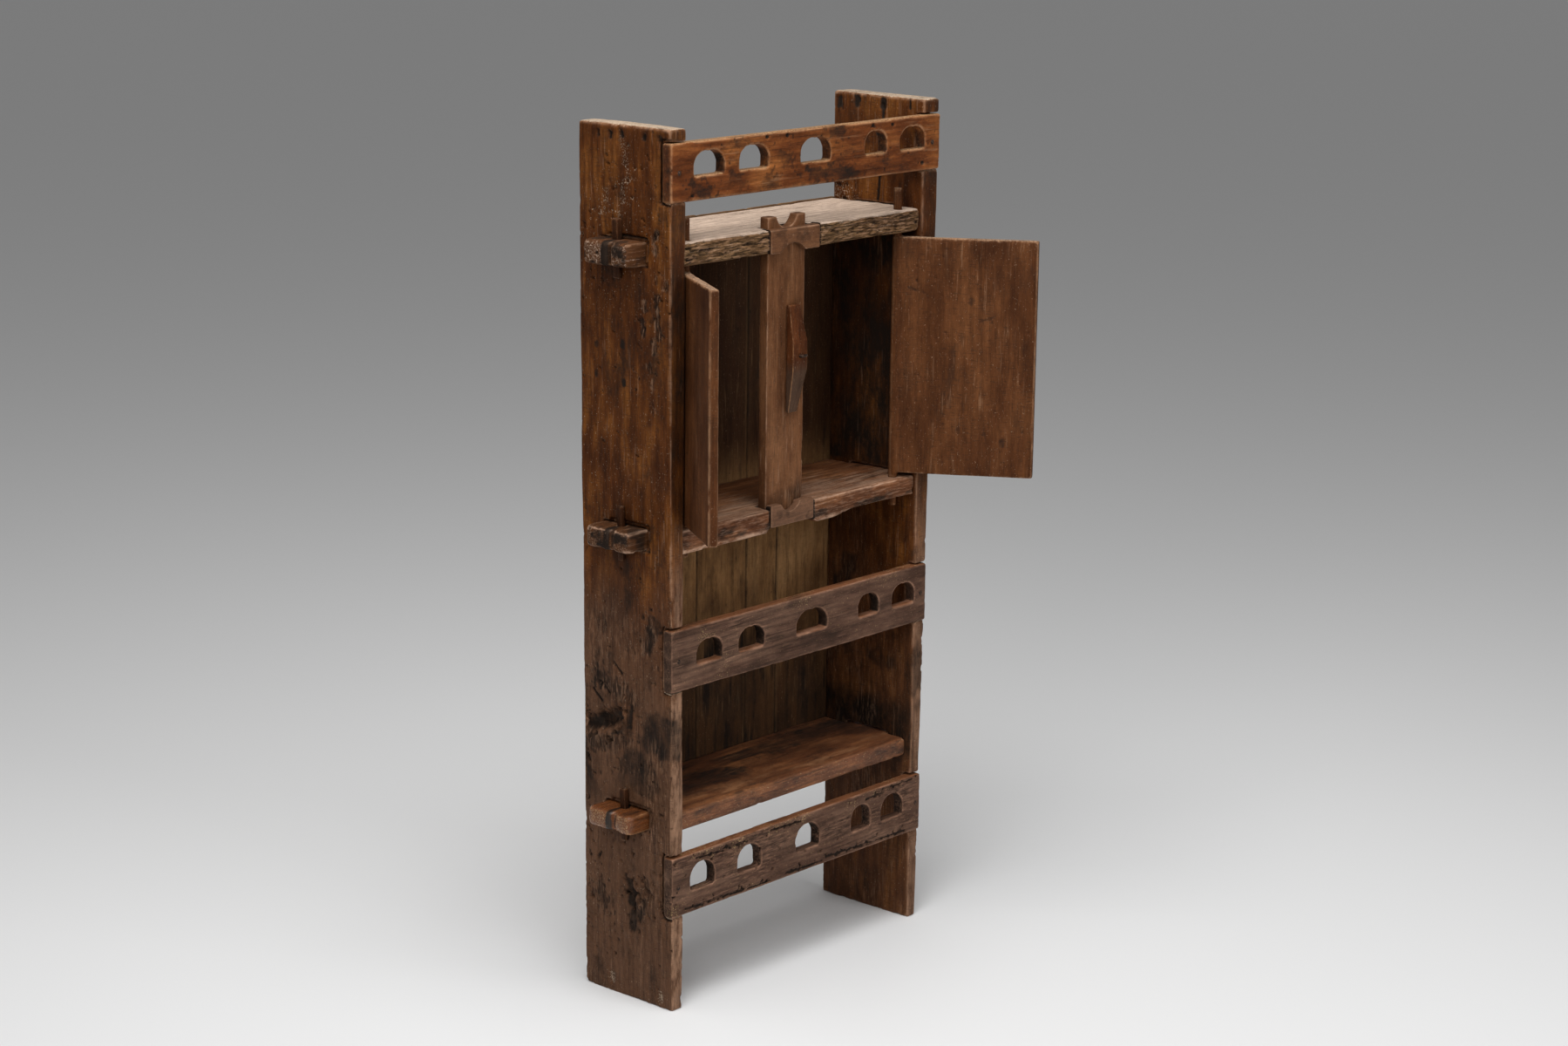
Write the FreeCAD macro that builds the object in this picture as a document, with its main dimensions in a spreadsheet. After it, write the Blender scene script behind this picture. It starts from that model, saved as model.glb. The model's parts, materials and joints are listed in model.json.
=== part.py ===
import FreeCAD, Part
import os
import re

import Sketcher

# A rustic plank cabinet: two tapered side boards, three shelves with wedged tusk tenons, three
# pierced rails lapped into the front edges, a two-door cupboard on wooden pintles and a plank back.
# X runs along the front, Y from front to back, Z up from the floor, millimetres.

SIZES = [
    ("caseHeight", 1398, "floor to the top of the left side board"),
    ("rightRise", 6, "right side board above the left one"),
    ("innerWidth", 558, "between the inner faces of the side boards"),
    ("boardDepth", 195, "side board, front edge to back edge"),
    ("leftTopThickness", 34.5, "left side board at the top"),
    ("leftFootThickness", 25.5, "left side board at the floor"),
    ("rightTopThickness", 39, "right side board at the top"),
    ("rightFootThickness", 21.5, "right side board at the floor"),
    ("boardEdgeRadius", 3, "worn arrises of the side boards"),
    ("topShelfDrop", 173, "upper face of the top shelf below the top of the left side board"),
    ("topShelfThickness", 36, "top shelf"),
    ("topShelfSetback", 7, "top shelf behind the side boards' front edges"),
    ("middleShelfShare", 0.5066, "middle shelf, as a share of the way up from the bottom to the top shelf"),
    ("middleShelfThickness", 33, "middle shelf"),
    ("middleShelfSetback", 7, "middle shelf behind the front edges"),
    ("bottomShelfLevel", 321, "upper face of the bottom shelf"),
    ("bottomShelfThickness", 31, "bottom shelf"),
    ("bottomShelfSetback", 13, "bottom shelf behind the front edges"),
    ("shelfEdgeRadius", 5, "worn front edges of the shelves"),
    ("tenonWidth", 93, "shelf tenon, front to back"),
    ("tenonCentre", 3.5, "middle of the tenon, behind the middle of the board"),
    ("tenonProjection", 41, "tenon end beyond the side board's outer face"),
    ("tenonClearance", 0.6, "tenon to mortise, front and back"),
    ("mortiseHeadroom", 1.5, "mortise above the tenon"),
    ("lobeRadius", 9, "rounded corners of the tenon's two lobes"),
    ("tenonEndRadius", 5, "worn upper and lower arrises of the tenon's end"),
    ("valleyCentre", -6, "valley between the lobes, behind the middle of the board"),
    ("valleyWidth", 12, "mouth of the valley"),
    ("valleyDepth", 16, "valley, in from the tenon's end"),
    ("topShelfWedgeCentre", 10, "top shelf's wedges, behind the middle of the board"),
    ("middleShelfWedgeCentre", 5, "middle shelf's wedges"),
    ("bottomShelfWedgeCentre", 0.5, "bottom shelf's wedges"),
    ("wedgeWidth", 12, "wedge, front to back"),
    ("wedgeHeadThickness", 12, "wedge at its head"),
    ("wedgeTailThickness", 8, "wedge at its tail"),
    ("wedgeRise", 32, "wedge above the shelf"),
    ("wedgeDrop", 24, "wedge below the shelf"),
    ("wedgeClearance", 0.4, "wedge to its slot, front and back"),
    ("wedgeDraw", 3, "slot reaching inside the side board's outer face"),
    ("railThickness", 20, "rails, front to back"),
    ("railProud", 2, "rails in front of the side boards"),
    ("railGap", 2, "notch above each rail"),
    ("railOverhang", 0.8, "rail ends beyond the side boards"),
    ("railEdgeRadius", 3, "worn arrises of the rails"),
    ("topRailDrop", 20, "upper edge of the top rail below the top of the left side board"),
    ("topRailHeight", 90, "top rail"),
    ("middleRailShare", 0.666, "middle rail's upper edge, as a share of the way up to the middle shelf"),
    ("middleRailHeight", 100, "middle rail"),
    ("bottomRailDrop", 65.5, "upper edge of the bottom rail below the bottom shelf's upper face"),
    ("bottomRailHeight", 99.5, "bottom rail"),
    ("archSill", 37.5, "flat base of the arches above the rail's lower edge"),
    ("roundArchRise", 36, "round arch, base to crown"),
    ("roundArchLeg", 18, "straight legs of a round arch"),
    ("roundArchShare", 0.73, "shoulder of a round arch, as a share of its half width and of its crown's rise"),
    ("pointedArchRise", 42, "pointed arch, base to apex"),
    ("pointedArchLeg", 20, "straight legs of a pointed arch"),
    ("pointedArchBulge", 5, "bow of a pointed arch's flanks"),
    ("hingeInset", 28.5, "hinge axis from the side board's inner face"),
    ("hingeSetback", 29, "hinge axis behind the front edges"),
    ("doorThickness", 16, "doors"),
    ("doorStopGap", 0.8, "open door to the front corner of the side board"),
    ("doorPostGap", 2, "closed door to centre post"),
    ("doorFootGap", 2, "door above the middle keeper block"),
    ("leftDoorHeadGap", 10.5, "left door below the top keeper block"),
    ("rightDoorHeadGap", 6.5, "right door below the top keeper block"),
    ("doorEdgeRadius", 2.5, "worn free edge of a door"),
    ("pintleRadius", 7, "door pintles"),
    ("pintleClearance", 0.3, "pintle to its hole, and heel to the shelf"),
    ("upperPintleRise", 35, "upper pintle above the top shelf"),
    ("lowerPintleDrop", 16, "lower pintle below the middle shelf"),
    ("postCentre", -28.5, "centre post, from the middle of the case"),
    ("postWidth", 88, "centre post"),
    ("postThickness", 17.5, "centre post, front to back"),
    ("postSetback", 20.5, "centre post behind the front edges"),
    ("postClearance", 0.5, "centre post to its slots"),
    ("postFootDepth", 14, "centre post let into the middle shelf"),
    ("hornRise", 18, "post's two horns above the top shelf"),
    ("hornWidth", 20, "each horn at its tip"),
    ("hornDip", 1, "hollow between the horns below the shelf's face"),
    ("keeperCentre", -23.5, "keeper blocks, from the middle of the case"),
    ("topKeeperWidth", 115, "keeper block in the top shelf"),
    ("middleKeeperWidth", 101, "keeper block in the middle shelf"),
    ("keeperGap", 1.2, "keeper block to its notch, on the right"),
    ("keeperProud", 1.5, "keeper block in front of its shelf"),
    ("keeperEdgeRadius", 4, "rounded lobes of the keeper blocks"),
    ("topKeeperDrop", 1.5, "top keeper below its shelf"),
    ("topKeeperArchSpan", 58, "arch in the top keeper's lower edge"),
    ("topKeeperArchRise", 13, "height of that arch"),
    ("middleKeeperRise", 6, "middle keeper above its shelf"),
    ("middleKeeperLift", 3, "middle keeper's foot above its shelf's underside"),
    ("middleKeeperHollowSpan", 42, "hollow in the middle keeper's upper edge"),
    ("middleKeeperHollowDepth", 14, "depth of that hollow"),
    ("buttonPivotAcross", -11.5, "turn button's nail, from the middle of the case"),
    ("buttonShare", 0.538, "turn button's nail, as a share of the way up from the middle to the top shelf"),
    ("buttonWidth", 35, "turn button at its nail"),
    ("buttonUpperWidth", 27, "turn button's upper end"),
    ("buttonLowerWidth", 21, "turn button's lower end"),
    ("buttonUpperLength", 82, "turn button above its nail"),
    ("buttonLowerLength", 91, "turn button below its nail"),
    ("buttonFlat", 22, "full thickness each way from the nail"),
    ("buttonThickness", 16, "turn button at its nail"),
    ("buttonTipThickness", 7, "turn button at its ends"),
    ("buttonClearance", 0.3, "turn button to centre post, and bent nail to turn button"),
    ("pivotNailRadius", 2.4, "turn button's nail"),
    ("pivotNailClearance", 0.3, "that nail to the turn button's hole"),
    ("pivotNailDepth", 14, "that nail in the centre post"),
    ("pivotNailBend", 11, "bent-over end of that nail"),
    ("backThickness", 12, "back planks"),
    ("backLap", 13, "back planks over the side boards' back edges"),
    ("backRise", 1, "back planks above the top shelf's face"),
    ("backDrop", 2, "back planks below the bottom shelf"),
    ("backGap", 1, "seam between two back planks"),
    ("seamOne", -170, "first seam, from the middle of the case"),
    ("seamTwo", -45, "second seam"),
    ("seamThree", 75, "third seam"),
    ("seamFour", 150, "fourth seam"),
    ("nailRadius", 1.8, "fixing nails"),
    ("nailFit", 0.2, "fixing nail to its hole"),
    ("nailHeadRadius", 4, "fixing nail heads"),
    ("nailHeadHeight", 1.6, "fixing nail heads"),
    ("railNailDepth", 24, "nails in the side boards"),
    ("backNailDepth", 22, "nails in the shelves"),
    ("backNailInset", 20, "nails from the edges of a back plank"),
]

# Hand-cut arches: the middle of each arch in from the side board it is set out from, or right of the
# middle of the case, and its width.
ARCHES = {
    "topRail": [
        ("left", 49, 65),
        ("left", 149, 65),
        ("middle", 13, 68),
        ("right", 122, 52),
        ("right", 30, 62),
    ],
    "middleRail": [
        ("left", 56, 58),
        ("left", 153, 59),
        ("middle", 18, 74),
        ("right", 120, 51),
        ("right", 30, 57),
    ],
    "bottomRail": [
        ("left", 43, 54),
        ("left", 152.5, 54),
        ("middle", 15.5, 56),
        ("right", 130, 47),
        ("right", 49.5, 55),
    ],
}

NODES = {
    "topShelf": "top_shelf",
    "middleShelf": "middle_shelf",
    "bottomShelf": "bottom_shelf",
    "topRail": "top_rail",
    "middleRail": "middle_rail",
    "bottomRail": "bottom_rail",
}
SHELVES = ["topShelf", "middleShelf", "bottomShelf"]
RAILS = ["topRail", "middleRail", "bottomRail"]
SIDES = {"left": "-1", "right": "1"}
BOARD_TOPS = {"left": "caseHeight", "right": "(caseHeight + rightRise)"}
SEAMS = ["seamOne", "seamTwo", "seamThree", "seamFour"]

doc = FreeCAD.newDocument("PlankCabinet")
sheet = doc.addObject("Spreadsheet::Sheet", "Dimensions")
aliases = set()
nodes = []


def fill_sheet():
    rows = list(SIZES)
    for rail, arches in ARCHES.items():
        for number, (start, middle, width) in enumerate(arches, 1):
            arch = f"{rail}Arch{number}"
            rows.append((f"{arch}Middle", middle, f"{rail} arch {number}, its middle from the {start}"))
            rows.append((f"{arch}Width", width, f"{rail} arch {number}, its width"))
    for row, (alias, number, note) in enumerate(rows, 1):
        sheet.set(f"A{row}", note)
        sheet.set(f"B{row}", str(number))
        sheet.setAlias(f"B{row}", alias)
        aliases.add(alias)
    doc.recompute()


def size(formula):
    return float(sheet.evalExpression(formula))


def bound(formula):
    def qualify(word):
        name = word.group()
        return f"Dimensions.{name}" if name in aliases else name

    return re.sub(r"[A-Za-z]\w*", qualify, formula)


# Sketches: an outline is a list of (x, y) formulas, and a third item on a corner is the point that
# the arc to the next corner passes through. A circle is ("circle", x, y, radius).
def pin_point(sketch, shape, end, across, up):
    for kind, formula in (("DistanceX", across), ("DistanceY", up)):
        number = sketch.addConstraint(Sketcher.Constraint(kind, -1, 1, shape, end, size(formula)))
        sketch.setExpression(f"Constraints[{number}]", bound(formula))


def draw_circle(sketch, across, up, radius):
    middle = FreeCAD.Vector(size(across), size(up), 0)
    shape = sketch.addGeometry(Part.Circle(middle, FreeCAD.Vector(0, 0, 1), size(radius)), False)
    pin_point(sketch, shape, 3, across, up)
    number = sketch.addConstraint(Sketcher.Constraint("Radius", shape, size(radius)))
    sketch.setExpression(f"Constraints[{number}]", bound(radius))


def draw_outline(sketch, corners):
    points = [FreeCAD.Vector(size(corner[0]), size(corner[1]), 0) for corner in corners]
    segments = []
    for index, corner in enumerate(corners):
        start = points[index]
        end = points[(index + 1) % len(points)]
        if len(corner) == 2:
            shape = sketch.addGeometry(Part.LineSegment(start, end), False)
            segments.append((shape, 1, 2))
            continue
        through = FreeCAD.Vector(size(corner[2][0]), size(corner[2][1]), 0)
        shape = sketch.addGeometry(Part.Arc(start, through, end), False)
        forward = sketch.getPoint(shape, 1).isEqual(start, 1e-6)
        segments.append((shape, 1, 2) if forward else (shape, 2, 1))
    for index, (shape, first, last) in enumerate(segments):
        follower, joined, _ = segments[(index + 1) % len(segments)]
        sketch.addConstraint(Sketcher.Constraint("Coincident", shape, last, follower, joined))
    for corner, (shape, first, last) in zip(corners, segments):
        pin_point(sketch, shape, first, corner[0], corner[1])
    for corner, (shape, first, last) in zip(corners, segments):
        if len(corner) == 3:
            through = FreeCAD.Vector(size(corner[2][0]), size(corner[2][1]), 0)
            mark = sketch.addGeometry(Part.Point(through), True)
            pin_point(sketch, mark, 1, corner[2][0], corner[2][1])
            sketch.addConstraint(Sketcher.Constraint("PointOnObject", mark, 1, shape))


def new_sketch(body, name, plane, outlines, offset):
    sketch = body.newObject("Sketcher::SketchObject", f"{body.Name}_{name}_sketch")
    support = [item for item in body.Origin.OriginFeatures if item.Role == f"{plane}_Plane"][0]
    sketch.AttachmentSupport = [(support, "")]
    sketch.MapMode = "FlatFace"
    sketch.setExpression("AttachmentOffset.Base.z", bound(offset))
    for outline in outlines:
        if outline[0] == "circle":
            draw_circle(sketch, *outline[1:])
        else:
            draw_outline(sketch, outline)
    return sketch


# A pad or pocket fills low..high along the axis across its plane. The XZ plane faces -Y.
def pad(body, name, plane, outlines, low, high):
    offset = f"-({high})" if plane == "XZ" else low
    feature = body.newObject("PartDesign::Pad", f"{body.Name}_{name}")
    feature.Profile = new_sketch(body, name, plane, outlines, offset)
    feature.setExpression("Length", bound(f"({high}) - ({low})"))
    doc.recompute()
    return feature


def pocket(body, name, plane, outlines, low, high):
    volume = body.Shape.Volume
    offset = f"-({low})" if plane == "XZ" else high
    feature = body.newObject("PartDesign::Pocket", f"{body.Name}_{name}")
    feature.Profile = new_sketch(body, name, plane, outlines, offset)
    feature.setExpression("Length", bound(f"({high}) - ({low})"))
    doc.recompute()
    if body.Shape.Volume >= volume:
        raise RuntimeError(f"{body.Label}: pocket {name} cuts nothing")
    return feature


def fillet(body, name, wanted, radius):
    base = body.Tip
    edges = [f"Edge{number}" for number, edge in enumerate(base.Shape.Edges, 1) if wanted(edge)]
    feature = body.newObject("PartDesign::Fillet", f"{body.Name}_{name}")
    feature.Base = (base, edges)
    feature.setExpression("Radius", bound(radius))
    doc.recompute()
    return feature


def new_body(label):
    body = doc.addObject("PartDesign::Body", label)
    body.Label = label
    nodes.append(body)
    return body


def rectangle(left, right, low, high):
    return [(left, low), (right, low), (right, high), (left, high)]


def runs_along(edge, axis):
    span = edge.Vertexes[-1].Point - edge.Vertexes[0].Point
    return abs(abs(span.normalize().dot(axis)) - 1) < 1e-6


# Shared places
FRONT = "(-boardDepth / 2)"
BACK = "(boardDepth / 2)"
RAIL_FRONT = f"({FRONT} - railProud)"
RAIL_BACK = f"({RAIL_FRONT} + railThickness)"
POST_FRONT = f"({FRONT} + postSetback)"
POST_BACK = f"({POST_FRONT} + postThickness)"
POST_LEFT = "(postCentre - postWidth / 2)"
POST_RIGHT = "(postCentre + postWidth / 2)"
HINGE_ACROSS = "(innerWidth / 2 - hingeInset)"
HINGE_DEPTH = f"({FRONT} + hingeSetback)"
TENON_FRONT = "(tenonCentre - tenonWidth / 2)"
TENON_BACK = "(tenonCentre + tenonWidth / 2)"
BACK_LEFT = "(-innerWidth / 2 - backLap)"
BACK_RIGHT = "(innerWidth / 2 + backLap)"
BACK_OUTSIDE = f"({BACK} + backThickness)"
UP = FreeCAD.Vector(0, 0, 1)
ACROSS = FreeCAD.Vector(1, 0, 0)
ALONG_DEPTH = FreeCAD.Vector(0, 1, 0)

# Levels above the floor: the cupboard hangs from the top, the lowest pieces are set out from the floor.
LEVELS = {"topShelf": "(caseHeight - topShelfDrop)", "bottomShelf": "bottomShelfLevel"}
LEVELS["middleShelf"] = f"(bottomShelfLevel + middleShelfShare * ({LEVELS['topShelf']} - bottomShelfLevel))"
LEVELS["topRail"] = "(caseHeight - topRailDrop)"
LEVELS["middleRail"] = f"(bottomShelfLevel + middleRailShare * ({LEVELS['middleShelf']} - bottomShelfLevel))"
LEVELS["bottomRail"] = "(bottomShelfLevel - bottomRailDrop)"
TOP_SHELF = LEVELS["topShelf"]
MIDDLE_SHELF = LEVELS["middleShelf"]
BUTTON_LEVEL = f"({MIDDLE_SHELF} + buttonShare * ({TOP_SHELF} - {MIDDLE_SHELF}))"


def inner_face(side):
    return f"({SIDES[side]} * innerWidth / 2)"


def board_thickness(side, height):
    taper = f"({side}TopThickness - {side}FootThickness)"
    return f"({side}FootThickness + {taper} * ({height}) / {BOARD_TOPS[side]})"


def outer_face(side, height):
    return f"({SIDES[side]} * (innerWidth / 2 + {board_thickness(side, height)}))"


def underside(shelf):
    return f"({LEVELS[shelf]} - {shelf}Thickness)"


def shelf_middle(shelf):
    return f"({LEVELS[shelf]} - {shelf}Thickness / 2)"


def rail_middle(rail):
    return f"({LEVELS[rail]} - {rail}Height / 2)"


def rail_nail_spots():
    spots = []
    for rail in RAILS:
        for side in SIDES:
            height = rail_middle(rail)
            across = f"({SIDES[side]} * (innerWidth / 2 + {board_thickness(side, height)} / 2))"
            spots.append((rail, side, across, height))
    return spots


def plank_edges():
    lefts = [BACK_LEFT] + [f"({seam} + backGap / 2)" for seam in SEAMS]
    rights = [f"({seam} - backGap / 2)" for seam in SEAMS] + [BACK_RIGHT]
    return list(zip(lefts, rights))


def back_nail_spots(plank):
    left, right = plank
    across = [f"({left} + backNailInset)", f"({right} - backNailInset)"]
    return [(place, shelf_middle(shelf), shelf) for shelf in SHELVES for place in across]


NAIL_HOLE = "(nailRadius + nailFit)"


# Side boards: a plank that thickens upwards, notched for the rails and mortised for the shelves.
def make_side(side):
    board = new_body(f"{side}_side")
    inner = inner_face(side)
    top = BOARD_TOPS[side]
    plank = [(inner, "0"), (outer_face(side, "0"), "0"), (outer_face(side, top), top), (inner, top)]
    pad(board, "plank", "XZ", [plank], FRONT, BACK)
    fillet(board, "arrises", lambda edge: edge.BoundBox.ZMax > 1, "boardEdgeRadius")
    notches = [
        rectangle(RAIL_FRONT, RAIL_BACK, f"{LEVELS[rail]} - {rail}Height", f"{LEVELS[rail]} + railGap")
        for rail in RAILS
    ]
    pocket(board, "notches", "YZ", notches, "-innerWidth", "innerWidth")
    mortises = [
        rectangle(
            f"{TENON_FRONT} - tenonClearance",
            f"{TENON_BACK} + tenonClearance",
            underside(shelf),
            f"{LEVELS[shelf]} + mortiseHeadroom",
        )
        for shelf in SHELVES
    ]
    pocket(board, "mortises", "YZ", mortises, "-innerWidth", "innerWidth")
    holes = [
        ("circle", across, height, NAIL_HOLE)
        for rail, owner, across, height in rail_nail_spots()
        if owner == side
    ]
    pocket(board, "nailHoles", "XZ", holes, FRONT, f"{RAIL_BACK} + railNailDepth")


# Tusk tenons and their wedges share these slanting faces: the wedge lies against the side board.
def wedge_foot(shelf):
    return f"({underside(shelf)} - wedgeDrop)"


def wedge_head(shelf):
    return f"({LEVELS[shelf]} + wedgeRise)"


def wedge_outline(side, shelf, draw):
    sign = SIDES[side]
    foot = wedge_foot(shelf)
    head = wedge_head(shelf)
    return [
        (f"{outer_face(side, foot)} - {sign} * {draw}", foot),
        (f"{outer_face(side, foot)} + {sign} * wedgeTailThickness", foot),
        (f"{outer_face(side, head)} + {sign} * wedgeHeadThickness", head),
        (f"{outer_face(side, head)} - {sign} * {draw}", head),
    ]


def make_wedge(side, shelf):
    wedge = new_body(f"{side}_{NODES[shelf]}_wedge")
    outline = wedge_outline(side, shelf, "0")
    middle = f"{shelf}WedgeCentre"
    pad(wedge, "taper", "XZ", [outline], f"{middle} - wedgeWidth / 2", f"{middle} + wedgeWidth / 2")


def tenon_tip(side, shelf):
    return f"({outer_face(side, shelf_middle(shelf))} + {SIDES[side]} * tenonProjection)"


# The sharp corners that wear has taken off above and below the tenons' ends.
def end_rounds(shelf):
    corners = []
    for side, sign in SIDES.items():
        tip = tenon_tip(side, shelf)
        for face, up in ((LEVELS[shelf], "1"), (underside(shelf), "-1")):
            inside = f"({face} - {up} * tenonEndRadius)"
            outside = f"({face} + {up} * tenonEndRadius)"
            start = f"({tip} - {sign} * tenonEndRadius)"
            beyond = f"({tip} + {sign} * tenonEndRadius)"
            nip = "tenonEndRadius * (1 - sqrt(0.5))"
            through = (f"{tip} - {sign} * {nip}", f"{face} - {up} * {nip}")
            corner = [(start, face, through), (tip, inside), (beyond, inside), (beyond, outside)]
            corners.append(corner + [(start, outside)])
    return corners


# A tenon's outline from its front corner at the board's inner face round to its back corner.
def tenon_outline(side, shelf):
    sign = SIDES[side]
    tip = tenon_tip(side, shelf)
    shoulder = f"({tip} - {sign} * lobeRadius)"
    bulge = f"({tip} - {sign} * lobeRadius * (1 - sqrt(0.5)))"
    nip = "lobeRadius * (1 - sqrt(0.5))"
    inner = inner_face(side)
    return [
        (inner, TENON_FRONT),
        (shoulder, TENON_FRONT, (bulge, f"{TENON_FRONT} + {nip}")),
        (tip, f"{TENON_FRONT} + lobeRadius"),
        (tip, "valleyCentre - valleyWidth / 2"),
        (f"{tip} - {sign} * valleyDepth", "valleyCentre"),
        (tip, "valleyCentre + valleyWidth / 2"),
        (tip, f"{TENON_BACK} - lobeRadius", (bulge, f"{TENON_BACK} - {nip}")),
        (shoulder, TENON_BACK),
        (inner, TENON_BACK),
    ]


# The same corners walked the other way: an arc's mark moves to the corner that it then starts from.
def reversed_outline(corners):
    turned = []
    for index in range(len(corners) - 1, -1, -1):
        corner = corners[index][:2]
        before = corners[index - 1] if index else ()
        turned.append(corner + (before[2],) if len(before) == 3 else corner)
    return turned


def make_shelf(shelf):
    board = new_body(NODES[shelf])
    edge = f"({FRONT} + {shelf}Setback)"
    right_tenon = tenon_outline("right", shelf)
    left_tenon = reversed_outline(tenon_outline("left", shelf))
    plan = [(inner_face("left"), edge), (inner_face("right"), edge)]
    plan += right_tenon
    plan += [(inner_face("right"), BACK), (inner_face("left"), BACK)]
    plan += left_tenon
    pad(board, "plank", "XY", [plan], underside(shelf), LEVELS[shelf])
    front_edge = size(edge)

    def is_front(line):
        return runs_along(line, ACROSS) and abs(line.BoundBox.YMax - front_edge) < 0.01

    fillet(board, "wornEdge", is_front, "shelfEdgeRadius")
    slots = [wedge_outline(side, shelf, "wedgeDraw") for side in SIDES]
    middle = f"{shelf}WedgeCentre"
    reach = "(wedgeWidth / 2 + wedgeClearance)"
    pocket(board, "wedgeSlots", "XZ", slots, f"{middle} - {reach}", f"{middle} + {reach}")
    pocket(board, "endRounds", "XZ", end_rounds(shelf), TENON_FRONT, TENON_BACK)
    spots = [spot for plank in plank_edges() for spot in back_nail_spots(plank) if spot[2] == shelf]
    holes = [("circle", across, height, NAIL_HOLE) for across, height, _ in spots]
    pocket(board, "nailHoles", "XZ", holes, f"{BACK} - backNailDepth", BACK)
    return board


# The cupboard's two shelves are notched for the centre post and its keeper block, and bored for the pintles.
def fit_cupboard(board, shelf, keeper, post_floor):
    half = f"{keeper}Width / 2"
    notch = rectangle(f"keeperCentre - {half}", f"keeperCentre + {half} + keeperGap", FRONT, POST_FRONT)
    pocket(board, "keeperNotch", "XY", [notch], underside(shelf), LEVELS[shelf])
    slot = rectangle(
        f"{POST_LEFT} - postClearance",
        f"{POST_RIGHT} + postClearance",
        f"{POST_FRONT} - postClearance",
        f"{POST_BACK} + postClearance",
    )
    pocket(board, "postSlot", "XY", [slot], post_floor, LEVELS[shelf])
    bores = [
        ("circle", f"{sign} * {HINGE_ACROSS}", HINGE_DEPTH, "pintleRadius + pintleClearance")
        for sign in SIDES.values()
    ]
    pocket(board, "pintleBores", "XY", bores, underside(shelf), LEVELS[shelf])


def arch_middle(rail, number):
    start = ARCHES[rail][number - 1][0]
    offset = f"{rail}Arch{number}Middle"
    if start == "left":
        return f"({offset} - innerWidth / 2)"
    if start == "right":
        return f"(innerWidth / 2 - {offset})"
    return offset


def round_arch(rail, number):
    middle = arch_middle(rail, number)
    half = f"{rail}Arch{number}Width / 2"
    sill = f"({LEVELS[rail]} - {rail}Height + archSill)"
    spring = f"({sill} + roundArchLeg)"
    crown = f"({sill} + roundArchRise)"
    shoulder = f"({spring} + roundArchShare * (roundArchRise - roundArchLeg))"
    lean = f"({half} * roundArchShare)"
    return [
        (f"{middle} - {half}", sill),
        (f"{middle} + {half}", sill),
        (f"{middle} + {half}", spring, (f"{middle} + {lean}", shoulder)),
        (middle, crown, (f"{middle} - {lean}", shoulder)),
        (f"{middle} - {half}", spring),
    ]


def pointed_arch(rail, number):
    middle = arch_middle(rail, number)
    half = f"{rail}Arch{number}Width / 2"
    sill = f"({LEVELS[rail]} - {rail}Height + archSill)"
    spring = f"({sill} + pointedArchLeg)"
    apex = f"({sill} + pointedArchRise)"
    flank = f"(({spring} + {apex}) / 2 + pointedArchBulge)"
    lean = f"({half} / 2 + pointedArchBulge)"
    return [
        (f"{middle} - {half}", sill),
        (f"{middle} + {half}", sill),
        (f"{middle} + {half}", spring, (f"{middle} + {lean}", flank)),
        (middle, apex, (f"{middle} - {lean}", flank)),
        (f"{middle} - {half}", spring),
    ]


def make_rail(rail, arch):
    board = new_body(NODES[rail])
    height = rail_middle(rail)
    left = f"{outer_face('left', height)} - railOverhang"
    right = f"{outer_face('right', height)} + railOverhang"
    outline = rectangle(left, right, f"{LEVELS[rail]} - {rail}Height", LEVELS[rail])
    pad(board, "plank", "XZ", [outline], RAIL_FRONT, RAIL_BACK)
    fillet(board, "arrises", lambda edge: True, "railEdgeRadius")
    arches = [arch(rail, number) for number in range(1, len(ARCHES[rail]) + 1)]
    pocket(board, "arches", "XZ", arches, RAIL_FRONT, RAIL_BACK)
    holes = [
        ("circle", across, level, NAIL_HOLE) for owner, _, across, level in rail_nail_spots() if owner == rail
    ]
    pocket(board, "nailHoles", "XZ", holes, RAIL_FRONT, RAIL_BACK)


# Centre post: a plank whose upper end stands through the top shelf as two horns with a hollow between.
def make_post():
    post = new_body("centre_post")
    foot = f"({MIDDLE_SHELF} - postFootDepth)"
    tip = f"({TOP_SHELF} + hornRise)"
    outline = [
        (POST_LEFT, foot),
        (POST_RIGHT, foot),
        (POST_RIGHT, tip),
        (f"{POST_RIGHT} - hornWidth", tip, ("postCentre", f"{TOP_SHELF} - hornDip")),
        (f"{POST_LEFT} + hornWidth", tip),
        (POST_LEFT, tip),
    ]
    pad(post, "plank", "XZ", [outline], POST_FRONT, POST_BACK)
    hole = ("circle", "buttonPivotAcross", BUTTON_LEVEL, "pivotNailRadius + nailFit")
    pocket(post, "nailHole", "XZ", [hole], POST_FRONT, f"{POST_FRONT} + pivotNailDepth")


# Keeper blocks close the notches in front of the post.
def keeper_depth(shelf):
    return f"({FRONT} + {shelf}Setback - keeperProud)", POST_FRONT


def make_top_keeper():
    keeper = new_body("top_keeper_block")
    left = "(keeperCentre - topKeeperWidth / 2)"
    right = "(keeperCentre + topKeeperWidth / 2)"
    foot = f"({underside('topShelf')} - topKeeperDrop)"
    outline = [
        (left, foot),
        ("postCentre - topKeeperArchSpan / 2", foot, ("postCentre", f"{foot} + topKeeperArchRise")),
        ("postCentre + topKeeperArchSpan / 2", foot),
        (right, foot),
        (right, TOP_SHELF),
        (left, TOP_SHELF),
    ]
    low, high = keeper_depth("topShelf")
    pad(keeper, "block", "XZ", [outline], low, high)
    face = size(low)
    level = size(TOP_SHELF)

    def is_brow(edge):
        return abs(edge.BoundBox.YMax - face) < 0.01 and abs(edge.BoundBox.ZMin - level) < 0.01

    fillet(keeper, "brow", is_brow, "keeperEdgeRadius")


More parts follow.
